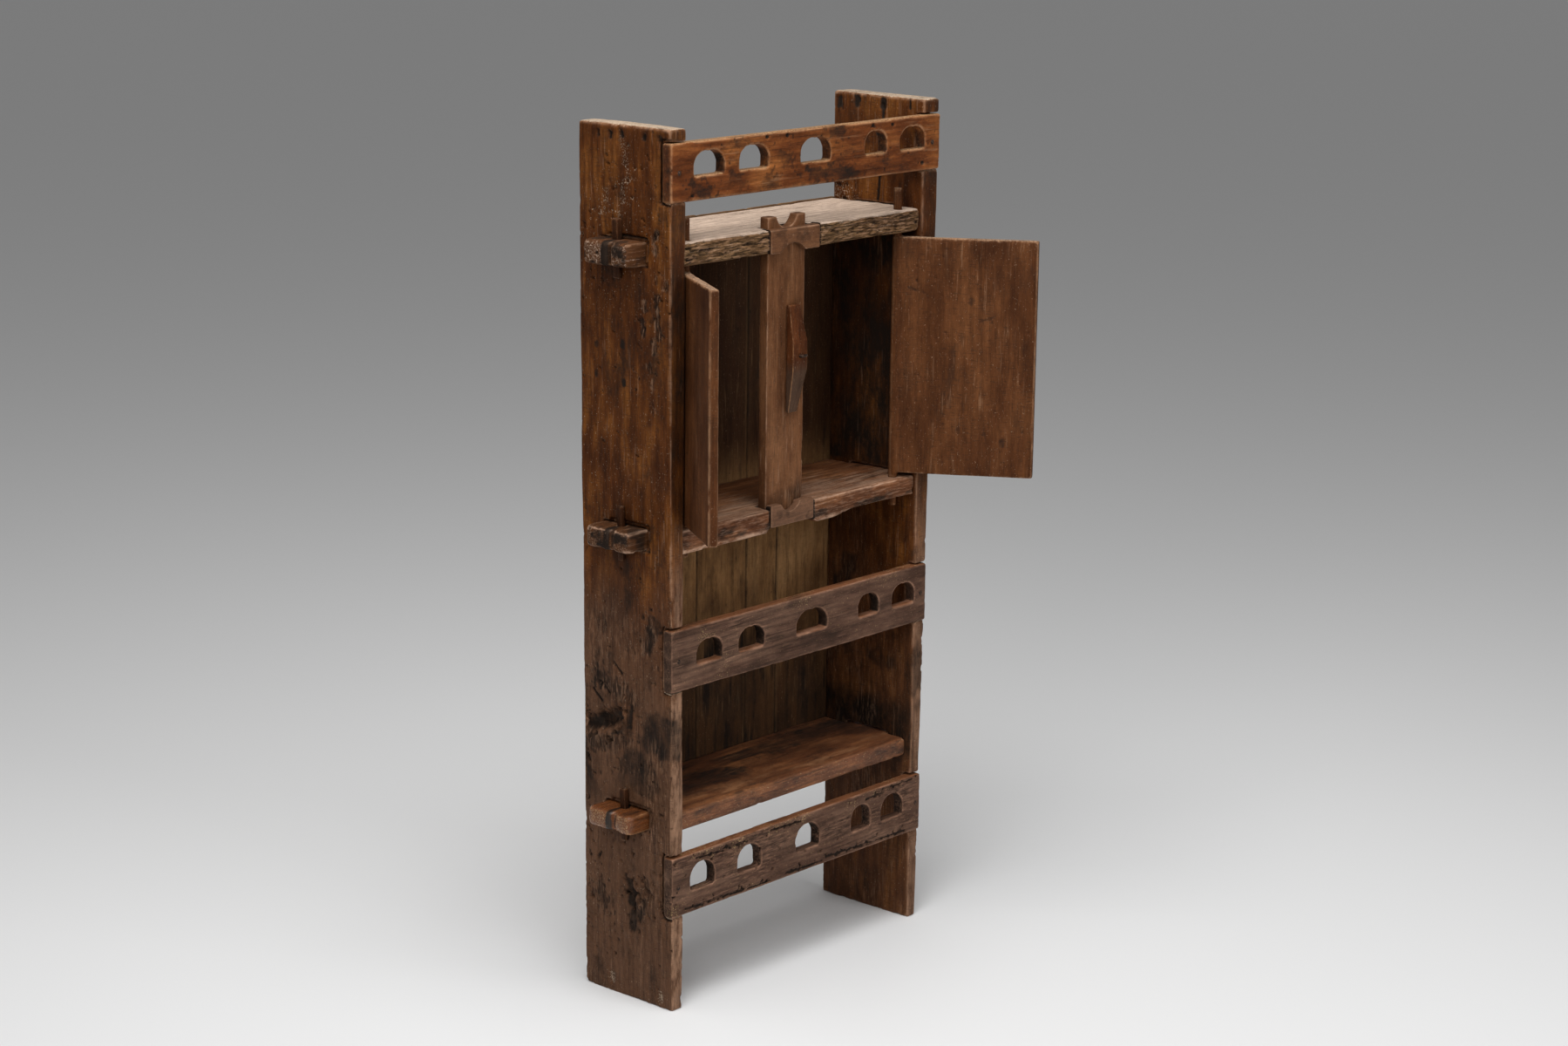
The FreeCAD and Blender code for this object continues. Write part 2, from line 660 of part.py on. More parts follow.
def make_middle_keeper():
    keeper = new_body("middle_keeper_block")
    left = "(keeperCentre - middleKeeperWidth / 2)"
    right = "(keeperCentre + middleKeeperWidth / 2)"
    foot = f"({underside('middleShelf')} + middleKeeperLift)"
    crown = f"({MIDDLE_SHELF} + middleKeeperRise)"
    outline = [
        (left, foot),
        (right, foot),
        (right, crown),
        (
            "postCentre + middleKeeperHollowSpan / 2",
            crown,
            ("postCentre", f"{crown} - middleKeeperHollowDepth"),
        ),
        ("postCentre - middleKeeperHollowSpan / 2", crown),
        (left, crown),
    ]
    low, high = keeper_depth("middleShelf")
    pad(keeper, "block", "XZ", [outline], low, high)
    level = size(crown)

    def is_crown(edge):
        return runs_along(edge, ALONG_DEPTH) and abs(edge.BoundBox.ZMax - level) < 0.01

    fillet(keeper, "lobes", is_crown, "keeperEdgeRadius")


# An open door stands where the face of its leaf reaches the front corner of the side board.
CORNER_BEARING = "atan(hingeSetback / hingeInset)"
CORNER_REACH = "sqrt(hingeSetback * hingeSetback + hingeInset * hingeInset)"
OPEN_ANGLE = f"180 deg - {CORNER_BEARING} - asin((doorThickness / 2 + doorStopGap) / {CORNER_REACH})"


# Doors are drawn closed, with the hinge axis on the body's own Z axis, and then placed standing open.
def make_door(side):
    door = new_body(f"{side}_door")
    sign = SIDES[side]
    free_edge = {"left": f"({POST_LEFT} - doorPostGap)", "right": f"({POST_RIGHT} + doorPostGap)"}[side]
    reach = f"({free_edge} - {sign} * {HINGE_ACROSS})"
    half = "(doorThickness / 2)"
    foot = f"({MIDDLE_SHELF} + middleKeeperRise + doorFootGap)"
    head = f"({underside('topShelf')} - topKeeperDrop - {side}DoorHeadGap)"
    plan = [
        ("0", f"-{half}"),
        (reach, f"-{half}"),
        (reach, half),
        ("0", half, (f"{sign} * {half}", "0")),
    ]
    pad(door, "leaf", "XY", [plan], foot, head)
    end = size(reach)

    def is_free(edge):
        return runs_along(edge, UP) and abs(edge.BoundBox.XMax - end) < 0.01

    fillet(door, "freeEdge", is_free, "doorEdgeRadius")
    pintle = ("circle", "0", "0", "pintleRadius")
    heel = ("circle", "0", "0", half)
    pad(door, "heel", "XY", [heel], f"{MIDDLE_SHELF} + pintleClearance", f"{foot} + doorThickness")
    lower = f"({underside('middleShelf')} - lowerPintleDrop)"
    pad(door, "lowerPintle", "XY", [pintle], lower, f"{foot} + doorThickness")
    pad(door, "upperPintle", "XY", [pintle], f"{head} - doorThickness", f"{TOP_SHELF} + upperPintleRise")
    turn = FreeCAD.Rotation(UP * float(sign), size(OPEN_ANGLE))
    door.Placement = FreeCAD.Placement(FreeCAD.Vector(), turn)
    door.setExpression("Placement.Base.x", bound(f"{sign} * {HINGE_ACROSS}"))
    door.setExpression("Placement.Base.y", bound(HINGE_DEPTH))
    door.setExpression("Placement.Rotation.Angle", bound(OPEN_ANGLE))


# Turn button: straight on the left, full at the nail and tapering in width and thickness to its ends.
def make_button():
    button = new_body("turn_button")
    left = "(buttonPivotAcross - buttonWidth / 2)"
    right = "(buttonPivotAcross + buttonWidth / 2)"
    top = f"({BUTTON_LEVEL} + buttonUpperLength)"
    bottom = f"({BUTTON_LEVEL} - buttonLowerLength)"
    back = f"({POST_FRONT} - buttonClearance)"
    face = f"({back} - buttonThickness)"
    outline = [
        (left, bottom),
        (f"{left} + buttonLowerWidth", bottom),
        (right, f"{BUTTON_LEVEL} - buttonFlat"),
        (right, f"{BUTTON_LEVEL} + buttonFlat"),
        (f"{left} + buttonUpperWidth", top),
        (left, top),
    ]
    pad(button, "blank", "XZ", [outline], face, back)
    tip_face = f"({back} - buttonTipThickness)"
    shavings = []
    for end, sign in ((top, "1"), (bottom, "-1")):
        start = f"({BUTTON_LEVEL} + {sign} * buttonFlat)"
        beyond = f"({end} + {sign} * buttonTipThickness)"
        outside = f"({face} - buttonTipThickness)"
        shaving = [(outside, start), (face, start), (tip_face, end), (tip_face, beyond)]
        shavings.append(shaving + [(outside, beyond)])
    pocket(button, "taper", "YZ", shavings, "-innerWidth", "innerWidth")
    hole = ("circle", "buttonPivotAcross", BUTTON_LEVEL, "pivotNailRadius + pivotNailClearance")
    pocket(button, "nailHole", "XZ", [hole], face, back)


def cylinder(name, radius, length, place, axis):
    piece = doc.addObject("Part::Cylinder", name)
    piece.setExpression("Radius", bound(radius))
    piece.setExpression("Height", bound(length))
    set_place(piece, place, axis)
    return piece


def set_place(piece, place, axis):
    piece.Placement = FreeCAD.Placement(FreeCAD.Vector(), FreeCAD.Rotation(UP, axis))
    for letter, formula in zip("xyz", place):
        piece.setExpression(f"Placement.Base.{letter}", bound(formula))


# The turn button's nail goes through the button into the post and its end is hammered over.
def make_pivot_nail():
    elbow_depth = f"({POST_FRONT} - 2 * buttonClearance - buttonThickness - pivotNailRadius)"
    elbow_place = ("buttonPivotAcross", elbow_depth, BUTTON_LEVEL)
    shank_length = f"{POST_FRONT} + pivotNailDepth - {elbow_depth}"
    shank = cylinder("pivotNailShank", "pivotNailRadius", shank_length, elbow_place, ALONG_DEPTH)
    bend = cylinder("pivotNailBend", "pivotNailRadius", "pivotNailBend", elbow_place, ACROSS)
    elbow = doc.addObject("Part::Sphere", "pivotNailElbow")
    elbow.setExpression("Radius", bound("pivotNailRadius"))
    set_place(elbow, elbow_place, UP)
    nail = doc.addObject("Part::MultiFuse", "turn_button_nail")
    nail.Shapes = [shank, bend, elbow]
    nail.Label = "turn_button_nail"
    nodes.append(nail)


def make_back_plank(number, plank):
    board = new_body(f"back_plank_{number}")
    left, right = plank
    outline = rectangle(left, right, f"{underside('bottomShelf')} - backDrop", f"{TOP_SHELF} + backRise")
    pad(board, "plank", "XZ", [outline], BACK, BACK_OUTSIDE)
    holes = [("circle", across, height, NAIL_HOLE) for across, height, _ in back_nail_spots(plank)]
    pocket(board, "nailHoles", "XZ", holes, BACK, BACK_OUTSIDE)


# A fixing nail: a shank and a low conical head, driven along +Y or -Y from the surface it holds down.
def make_nail(name, across, surface, height, length, direction):
    place = (across, surface, height)
    shank = cylinder(f"{name}Shank", "nailRadius", length, place, direction)
    head = doc.addObject("Part::Cone", f"{name}Head")
    head.setExpression("Radius1", bound("nailHeadRadius"))
    head.setExpression("Radius2", bound("nailHeadRadius / 2"))
    head.setExpression("Height", bound("nailHeadHeight"))
    set_place(head, place, -direction)
    nail = doc.addObject("Part::Fuse", name)
    nail.Base = shank
    nail.Tool = head
    return nail


def group_nails(label, nails):
    group = doc.addObject("Part::Compound", label)
    group.Links = nails
    group.Label = label
    nodes.append(group)


def make_nails():
    length = "railThickness + railNailDepth"
    rail_nails = [
        make_nail(f"railNail{number}_", across, RAIL_FRONT, height, length, ALONG_DEPTH)
        for number, (rail, side, across, height) in enumerate(rail_nail_spots(), 1)
    ]
    group_nails("rail_nails", rail_nails)
    spots = [spot for plank in plank_edges() for spot in back_nail_spots(plank)]
    length = "backThickness + backNailDepth"
    back_nails = [
        make_nail(f"backNail{number}_", across, BACK_OUTSIDE, height, length, -ALONG_DEPTH)
        for number, (across, height, shelf) in enumerate(spots, 1)
    ]
    group_nails("back_nails", back_nails)


def check_and_write():
    doc.recompute()
    for item in doc.Objects:
        if "Invalid" in item.State or "Error" in item.State:
            raise RuntimeError(f"{item.Label} did not build: {item.State}")
    for node in nodes:
        if node.Shape.isNull() or not node.Shape.isValid():
            raise RuntimeError(f"{node.Label} has no valid shape")
    os.makedirs("parts", exist_ok=True)
    for node in nodes:
        node.Shape.exportStep(f"parts/{node.Label}.step")
        print(f"{node.Label}: {len(node.Shape.Solids)} solid(s)")


fill_sheet()
for side in SIDES:
    make_side(side)
for shelf in SHELVES:
    board = make_shelf(shelf)
    if shelf == "topShelf":
        fit_cupboard(board, shelf, "topKeeper", underside(shelf))
    if shelf == "middleShelf":
        fit_cupboard(board, shelf, "middleKeeper", f"{MIDDLE_SHELF} - postFootDepth")
for side in SIDES:
    for shelf in SHELVES:
        make_wedge(side, shelf)
make_rail("topRail", round_arch)
make_rail("middleRail", round_arch)
make_rail("bottomRail", pointed_arch)
make_post()
make_top_keeper()
make_middle_keeper()
for side in SIDES:
    make_door(side)
make_button()
make_pivot_nail()
for number, plank in enumerate(plank_edges(), 1):
    make_back_plank(number, plank)
make_nails()
check_and_write()
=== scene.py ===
import json
import math

import bmesh
import bpy
import numpy as np
from mathutils import Matrix, Vector


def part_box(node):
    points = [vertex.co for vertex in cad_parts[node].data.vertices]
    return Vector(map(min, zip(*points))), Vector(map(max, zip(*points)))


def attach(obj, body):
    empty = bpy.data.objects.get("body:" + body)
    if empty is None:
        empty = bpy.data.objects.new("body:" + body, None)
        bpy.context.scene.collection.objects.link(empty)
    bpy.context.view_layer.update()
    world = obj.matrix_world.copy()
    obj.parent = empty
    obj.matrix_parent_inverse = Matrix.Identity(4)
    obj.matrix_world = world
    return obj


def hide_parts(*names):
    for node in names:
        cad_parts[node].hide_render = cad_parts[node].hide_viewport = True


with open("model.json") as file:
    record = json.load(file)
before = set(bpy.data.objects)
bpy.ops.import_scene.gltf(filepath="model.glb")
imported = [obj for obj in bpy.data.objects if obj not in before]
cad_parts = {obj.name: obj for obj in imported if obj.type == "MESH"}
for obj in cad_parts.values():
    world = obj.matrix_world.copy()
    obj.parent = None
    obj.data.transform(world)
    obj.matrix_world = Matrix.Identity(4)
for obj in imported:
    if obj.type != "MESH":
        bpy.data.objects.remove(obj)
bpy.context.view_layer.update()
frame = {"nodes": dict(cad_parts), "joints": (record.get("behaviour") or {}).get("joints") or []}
scene = bpy.context.scene
scene.view_settings.view_transform = "Standard"
mm = 0.001
print("frame loaded:", len(frame["nodes"]), "nodes")

# noise from hashed values at the corners of a lattice
cellPrimes = np.array([374761393, 668265263, 1442695041])
seedPrime, mixPrime = 974634777, 1274126177


def latticeNoise(points, seed):
    cell = np.floor(points).astype(np.int64)
    part = points - cell
    part = part * part * (3 - 2 * part)
    total = np.zeros(len(points))
    for corner in range(8):
        step = np.array([corner & 1, corner >> 1 & 1, corner >> 2])
        key = (cell + step) @ cellPrimes + seed * seedPrime
        key = (key ^ key >> 13) * mixPrime
        value = ((key ^ key >> 16) & 65535) / 32767.5 - 1
        total += value * np.prod(np.where(step, part, 1 - part), axis=1)
    return total


# a few octaves of it; size is the widest cell in metres, one for all axes or one for each
def cloud(points, size, seed, octaves=3):
    total = np.zeros(len(points))
    for octave in range(octaves):
        total += latticeNoise(points / np.array(size) * 2**octave, seed + octave) * 0.5**octave
    return total


def ease(low, high, value):
    part = np.clip((value - low) / (high - low), 0, 1)
    return part * part * (3 - 2 * part)


# 1 between two heights, easing over the pair given for each
def between(spec, height, drift=0):
    return ease(*spec["above"], height) * ease(*spec["below"], height + drift)


# how hand-sawn boards are gridded and worn; sizes in metres
handwork = dict(
    weld=0.01 * mm, quickCoarser=1.8,
    crest=99.7, wornFrom=0.35, wornFull=0.8, sharp=3, cornerDarkening=0.8, leastRub=0.3,
    unevenSize=0.07, uneven=(-0.4, 0.5), chipSize=0.017, chips=(0.4, 0.85),
    waverSize=0.24, rippleSize=(0.022, 0.05, 0.12),
    onFace=0.45, raggedSize=0.006, scarEdge=0.75,
    pitSize=(0.006, 0.006, 0.022), pits=(0.25, 0.75),
    frontArris=(0.3, 0.55), arrisCleaned=0.8,
    endGrain=(0.55, 0.85), plankShift=(0.37, 0.61, 0.83),  # the shift gives each piece its own grain
)

# ways a surface can face, and the cosines between which it begins to
ways = dict(left=(-1, 0, 0), right=(1, 0, 0), front=(0, -1, 0), up=(0, 0, 1), down=(0, 0, -1))
loosely, roughly, squarely, fully = (0.3, 0.8), (0.4, 0.8), (0.5, 0.85), (0.6, 0.9)


# a worn wooden piece starts as an even grid over its CAD node
def voxelGrid(node, voxel):
    mesh = frame["nodes"][node].data.copy()
    mesh.materials.clear()
    welded = bmesh.new()
    welded.from_mesh(mesh)
    bmesh.ops.remove_doubles(welded, verts=welded.verts, dist=handwork["weld"])
    welded.to_mesh(mesh)
    welded.free()
    piece = bpy.data.objects.new(f"{node}_wood", mesh)
    scene.collection.objects.link(piece)
    remesh = piece.modifiers.new("grid", "REMESH")
    remesh.mode = "VOXEL"
    remesh.voxel_size = voxel * mm * 1
    grid = bpy.data.meshes.new_from_object(piece.evaluated_get(bpy.context.evaluated_depsgraph_get()))
    piece.modifiers.clear()
    piece.data = grid
    bpy.data.meshes.remove(mesh)
    return piece


# board space: across the board, through its thickness, along its grain; doors are read as if closed
layOrders = dict(upright=(1, 0, 2), shelf=(1, 2, 0), rail=(2, 1, 0), leaf=(0, 1, 2))


def boardSpace(node, vectors, lay, isPlace):
    for joint in frame["joints"]:
        if joint["child"] == node and lay == "leaf" and "range_deg" in joint:
            turn = Matrix.Rotation(math.radians(joint["range_deg"][0]), 3, Vector(joint["axis"]))
            pivot = np.array(joint["pos_m"]) if isPlace else np.zeros(3)
            vectors = (vectors - pivot) @ np.array(turn).T + pivot
    return vectors[:, layOrders[lay]]


def rowsOf(items, key, width, kind=float):
    values = np.empty(len(items) * width, kind)
    items.foreach_get(key, values)
    return values.reshape(-1, width)


class WornPiece:
    def __init__(self, node, spec, seed):
        self.node, self.spec, self.seed = node, spec, seed
        self.piece = voxelGrid(node, spec["voxel"])
        mesh = self.piece.data
        count = len(mesh.vertices)
        self.places = rowsOf(mesh.vertices, "co", 3)
        self.normals = rowsOf(mesh.vertex_normals, "vector", 3)
        self.edges = rowsOf(mesh.edges, "vertices", 2, np.int32)
        self.board = boardSpace(node, self.places, spec["lay"], True)
        self.facing = boardSpace(node, self.normals, spec["lay"], False)
        self.push = np.zeros(count)  # metres along the normal
        self.masks = {key: np.zeros(count) for key in ("wear", "soot", "bleach", "stain", "eaten")}

    # paint keeps the stronger of what is there and what is new
    def paint(self, key, amount):
        self.masks[key] = np.maximum(self.masks[key], amount)

    # how well the surface faces one of the ways named
    def faces(self, reach, *named):
        return ease(*reach, np.max([self.normals @ np.array(ways[way]) for way in named], axis=0))

    def patches(self, low, high, size, seed):
        return ease(low, high, cloud(self.board, size, seed))

    def relaxed(self, places, rounds):
        first, second = self.edges.T
        count = len(places)
        links = np.bincount(self.edges.ravel(), minlength=count)
        for _ in range(rounds):
            total = np.empty_like(places)
            for axis in range(3):
                total[:, axis] = np.bincount(first, places[second, axis], count)
                total[:, axis] += np.bincount(second, places[first, axis], count)
            places = (places + total / links[:, None]) / 2
        return places

    # arrises rub away unevenly and chip; inner corners are painted darker
    def rubEdges(self):
        soft = self.relaxed(self.places, self.spec["rounds"])
        bulge = np.sum((self.places - soft) * self.normals, axis=1) / (self.spec["voxel"] * mm)
        crest = np.percentile(bulge, handwork["crest"])
        self.paint("wear", ease(handwork["wornFrom"] * crest, handwork["wornFull"] * crest, bulge))
        self.paint("soot", np.clip(-bulge * handwork["sharp"], 0, 1) * handwork["cornerDarkening"])
        least = handwork["leastRub"]
        uneven = ease(*handwork["uneven"], cloud(self.places, handwork["unevenSize"], self.seed + 11))
        self.places += (soft - self.places) * ((least + (1 - least) * uneven) * self.spec["rub"])[:, None]
        arris = np.clip(bulge * handwork["sharp"], 0, 1)
        chips = ease(*handwork["chips"], cloud(self.places, handwork["chipSize"], self.seed + 23)) * arris
        self.push -= chips * self.spec["chip"] * mm

    # hands rub the arrises of a front face bright
    def rubFront(self, part):
        flank = np.maximum(np.abs(self.normals[:, 0]), np.abs(self.normals[:, 2]))
        arris = ease(*handwork["frontArris"], np.minimum(-self.normals[:, 1], flank)) * part
        self.paint("wear", arris)
        self.masks["soot"] *= 1 - handwork["arrisCleaned"] * arris

    # round off one part of the piece further, as a tenon's lobes are
    def roundOff(self, part, rounds):
        soft = self.relaxed(self.places, rounds)
        self.places += (soft - self.places) * part[:, None]

    # slow waver of a hand-sawn board and the shorter ripples of the adze along the grain
    def waver(self):
        self.push += self.spec["waver"] * mm * cloud(self.board, handwork["waverSize"], self.seed + 31, 2)
        self.push += self.spec["ripple"] * mm * cloud(self.board, handwork["rippleSize"], self.seed + 41)

    # a moving piece, or one that another moves against, only loses wood
    def keepClear(self):
        self.push = np.minimum(self.push, 0)

    # scars run along short strokes on one face: ((across, along), (across, along)) in millimetres
    def scar(self, side, strokes, width, depth, soot=0.0, bleach=0.0, eaten=0.0, ragged=0.35, soft=0.8):
        onFace = self.facing[:, 1] * side > handwork["onFace"]
        flat = self.board[:, (0, 2)] / mm
        rough = 1 + ragged * cloud(self.board, handwork["raggedSize"], self.seed + 53, 2)
        inner, outer = handwork["scarEdge"] - soft / 2, handwork["scarEdge"] + soft / 2
        for start, end in strokes:
            start, end = np.array(start, float), np.array(end, float)
            run = end - start
            part = np.clip((flat - start) @ run / max(run @ run, 1e-9), 0, 1)
            gap = np.linalg.norm(flat - start - part[:, None] * run, axis=1) / width * rough
            dent = (1 - ease(inner, outer, gap)) * onFace
            self.push -= dent * depth * mm
            for key, strength in (("soot", soot), ("bleach", bleach), ("eaten", eaten)):
                self.paint(key, dent * strength)

    def scars(self, side, marks):
        for each in marks.values():
            self.scar(side, **each)

    # small linear pits over a part of the surface
    def pitted(self, part, depth, soot, size=handwork["pitSize"]):
        pits = self.patches(*handwork["pits"], size, self.seed + 67) * part
        self.push -= pits * depth * mm
        self.paint("soot", pits * soot)

    # lay grain, paint masks and body on the finished piece
    def settle(self, material, body, slot):
        self.places += self.normals * self.push[:, None]
        self.places[:, 2] = np.maximum(self.places[:, 2], 0)
        mesh = self.piece.data
        mesh.vertices.foreach_set("co", self.places.ravel())
        shift = np.array(handwork["plankShift"]) * self.seed
        self.masks["endGrain"] = ease(*handwork["endGrain"], np.abs(self.facing[:, 2]))
        for name, values in self.masks.items():
            mask = mesh.attributes.new(name, "FLOAT", "POINT")
            mask.data.foreach_set("value", np.clip(values, 0, 1).astype(np.float32))
        grain = mesh.attributes.new("grainSpace", "FLOAT_VECTOR", "POINT")
        grain.data.foreach_set("vector", (self.board + shift).astype(np.float32).ravel())
        mesh.polygons.foreach_set("use_smooth", np.ones(len(mesh.polygons), bool))
        mesh.update()
        mesh.materials.append(material)
        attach(self.piece, body)
        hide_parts(self.node)


def hew(node, spec, seed):
    piece = WornPiece(node, spec, seed)
    piece.rubEdges()
    piece.waver()
    return piece


# short strokes along the grain at points (across, along)
def spots(points, reach):
    return [((across, along - reach), (across, along + reach)) for across, along in points]


# one kind of mark for scar: strokes, width and depth in millimetres, then its paint
def mark(strokes, width, depth, **rest):
    return {"strokes": strokes, "width": width, "depth": depth, **rest}


# shader maths: a wire holds a socket, and expressions on wires add Math nodes
class Wire:
    def __init__(self, tree, socket=None):
        self.tree, self.socket = tree, socket

    def node(self, kind, settings=None, sockets=None, out=0):
        made = self.tree.nodes.new(kind)
        for key, value in (settings or {}).items():
            if key == "stops":
                while len(made.color_ramp.elements) < len(value):
                    made.color_ramp.elements.new(0.5)
                for stop, (place, colour) in zip(made.color_ramp.elements, value):
                    stop.position, stop.color = place, (*colour, 1)
            else:
                setattr(made, key, value)
        for key, value in (sockets or {}).items():
            if isinstance(value, Wire):
                self.tree.links.new(value.socket, made.inputs[key])
            else:
                made.inputs[key].default_value = value
        return Wire(self.tree, made.outputs[out])

    def math(self, operation, first, second=0.0, clamp=False):
        settings = {"operation": operation, "use_clamp": clamp}
        return self.node("ShaderNodeMath", settings, {0: first, 1: second})

    def __add__(self, other):
        return self.math("ADD", self, other)

    def __sub__(self, other):
        return self.math("SUBTRACT", self, other)

    def __rsub__(self, other):
        return self.math("SUBTRACT", other, self)

    def __mul__(self, other):
        return self.math("MULTIPLY", self, other)

    def __pow__(self, other):
        return self.math("POWER", self, other)

    def __abs__(self):
        return self.math("ABSOLUTE", self)

    __radd__ = __add__
    __rmul__ = __mul__

    def band(self, low, high):
        return self.math("MULTIPLY", self - low, 1 / (high - low), clamp=True)

    def most(self, other):
        return self.math("MAXIMUM", self, other)

    def stretch(self, across, along):
        scale = (across, across, along)
        return self.node("ShaderNodeVectorMath", {"operation": "MULTIPLY"}, {0: self, 1: scale})

    def noise(self, across, along, detail=2.0, rough=0.55):
        sockets = {"Vector": self.stretch(across, along), "Scale": 1.0, "Detail": detail, "Roughness": rough}
        return self.node("ShaderNodeTexNoise", None, sockets)

    # dark cells picked here and there, for dents and worm holes
    def pits(self, across, along, share, reach):
        sockets = {"Vector": self.stretch(across, along), "Scale": 1.0}
        gap = self.node("ShaderNodeTexVoronoi", None, sockets, "Distance")
        pick = self.node("ShaderNodeTexVoronoi", None, sockets, "Color")
        chosen = self.node("ShaderNodeSeparateColor", None, {0: pick}).band(1 - share, 1.02 - share)
        return (1 - gap.band(0.6 * reach, reach)) * chosen

    def mix(self, factor, other, blend="MIX"):
        settings = {"data_type": "RGBA", "blend_type": blend}
        return self.node("ShaderNodeMix", settings, {0: factor, 6: self, 7: other}, 2)

    def shade(self, amount):
        return self.mix(1.0, amount, "MULTIPLY")

    def mask(self, name, out="Fac"):
        return self.node("ShaderNodeAttribute", {"attribute_name": name}, None, out)

    def feed(self, shader, wires):
        for key, wire in wires.items():
            self.tree.links.new(wire.socket, shader.inputs[key])


def newMaterial(name):
    material = bpy.data.materials.new(name)
    material.use_nodes = True
    return material, Wire(material.node_tree), material.node_tree.nodes["Principled BSDF"]


def rgba(colour):
    return (*colour, 1.0)


# noise in the timber: cells per metre across and along the grain, octaves, roughness
grainNoise = dict(
    sway=(7, 1.3), ringJitter=(45, 4), patch=(11, 5, 5, 0.6), fibre=(430, 16, 5, 0.7),
    fleck=(210, 95, 5, 0.7), grime=(22, 11, 6, 0.7), fissure=(300, 42, 5, 0.7),
    speck=(480, 330, 4, 0.65), rubbing=(75, 27, 4, 0.65), scuff=(230, 16, 3), pore=(1300, 55, 2),
    check=(120, 1.7, 3), checkedPart=(11, 3), wormyPart=(6, 4), chatter=(70, 480, 3),
)
wormHoles, smallDents = (120, 95, 0.1, 0.14), (170, 60, 0.05, 0.24)  # cells per metre, share, reach


# old hand-sawn timber: rings about a pith beside the board, fibres, checks, worm holes, soot with painted
# shade, and worn arrises with painted highlights
def oldWood(name, look):
    material, wire, shader = newMaterial(name)
    space = wire.mask("grainSpace", "Vector")
    wear, soot, bleach = (wire.mask(key) for key in ("wear", "soot", "bleach"))
    stain, eaten, ends = (wire.mask(key) for key in ("stain", "eaten", "endGrain"))
    across, through = (wire.node("ShaderNodeSeparateXYZ", None, {0: space}, index) for index in (0, 1))

    def grain(key):
        return space.noise(*grainNoise[key])

    offAcross = across + (grain("sway") - 0.5) * 0.09 - look["pith"][0]
    offThrough = through - look["pith"][1]
    radius = (offAcross * offAcross + offThrough * offThrough) ** 0.5
    rings = wire.math("SINE", radius * (2 * math.pi / look["ringGap"]) + grain("ringJitter") * 3)
    patch = grain("patch")
    late = rings.band(-0.2, 1.0) * (1 - ends * 0.6) * patch.band(0.38, 0.6)
    fibre, fleck, grime = grain("fibre"), grain("fleck"), grain("grime")
    fissure, speck = grain("fissure"), grain("speck")
    mottle = space.noise(*look["mottle"], 5, 0.65)

    # the wood's own tones; its stain, whose mask also carries painted shade and painted highlight; its dry
    # flakes, whose mask also carries painted highlight
    stops = [(0.36, look["deep"]), (0.5, look["mid"]), (0.64, look["bright"])]
    colour = wire.node("ShaderNodeValToRGB", {"stops": stops}, {0: mottle * 0.45 + patch * 0.55})
    colour = colour.mix(wire.math("MINIMUM", stain * (0.65 + mottle * 0.6), 1.0), rgba(look["stain"]))
    dry = bleach.most(ends * look["endDry"])
    smooth = 1 - look["grit"]
    grit = (speck - 0.5) * look["grit"] + (fibre - 0.5) * (1.5 * smooth)
    flakes = (dry * 1.3 + grit * (3.6 - dry * 1.6)).band(0.5 - 0.25 * smooth, 0.82 + 0.3 * smooth)
    colour = colour.mix(flakes, rgba(look["pale"]))
    colour = colour.shade(1 - late * look["rings"])
    colour = colour.shade(fibre * 0.85 + fleck * 0.8 + mottle * 0.65 - 0.15)

    # soot, grime and painted shade, then what hands have rubbed bright together with painted highlights
    blots = (soot * 1.5 + (grime - 0.5) * 2.4 + (fleck - 0.5) * 0.9 - 0.4).band(0.0, 0.8)
    dirtAndShade = blots.most(grime.band(0.55, 0.68) * look["grime"])
    colour = colour.mix(dirtAndShade, rgba(look["soot"]))
    rubbed = wear * (1 - soot) * grain("rubbing").band(0.36, 0.58) * look["wear"]
    scuffs = grain("scuff").band(0.6, 0.7) * patch.band(0.42, 0.6) * look["scuffs"]
    ridges = eaten * (1 - fissure.band(0.40, 0.48)) * 0.6
    colour = colour.mix(rubbed.most(scuffs).most(ridges), rgba(look["worn"]))

    # pores, saw chatter and holes
    pores = grain("pore").band(0.58, 0.72)
    checkLine = 1 - abs(grain("check") - 0.5).band(0.004, 0.014)
    checks = checkLine * grain("checkedPart").band(0.52, 0.62) * look["checks"]
    worms = space.pits(*wormHoles) * grain("wormyPart").band(0.5, 0.62) * look["worms"]
    dents = space.pits(*smallDents) * grime.band(0.48, 0.6) * look["dents"]
    furrows = fissure.band(0.52, 0.59) * eaten * (0.45 + mottle.band(0.4, 0.56) * 0.55)
    holes = checks.most(worms).most(dents).most(furrows * 0.9)
    chatter = grain("chatter").band(0.56, 0.66) * patch.band(0.4, 0.55) * look["chatter"]
    colour = colour.mix((pores * 0.4).most(chatter), rgba(look["soot"]))
    colour = colour.mix(holes, rgba(look["hole"]))

    gloss = look["rough"] + (fibre - 0.5) * 0.3 + bleach * 0.2 - rubbed * 0.08 + dirtAndShade * 0.1
    gloss = wire.math("ADD", gloss - stain * look["polish"], 0.0, clamp=True)
    height = fibre * look["relief"] + fleck * 0.5 + mottle * 0.5 - late * 0.12
    height = height - (pores + chatter) * 0.2 - holes * 1.2
    normal = wire.node("ShaderNodeBump", None, {"Strength": 0.8, "Distance": 1.0 * mm, "Height": height})
    wire.feed(shader, {"Base Color": colour, "Roughness": gloss, "Normal": normal})
    shader.inputs["Specular IOR Level"].default_value = look["specular"]
    return material


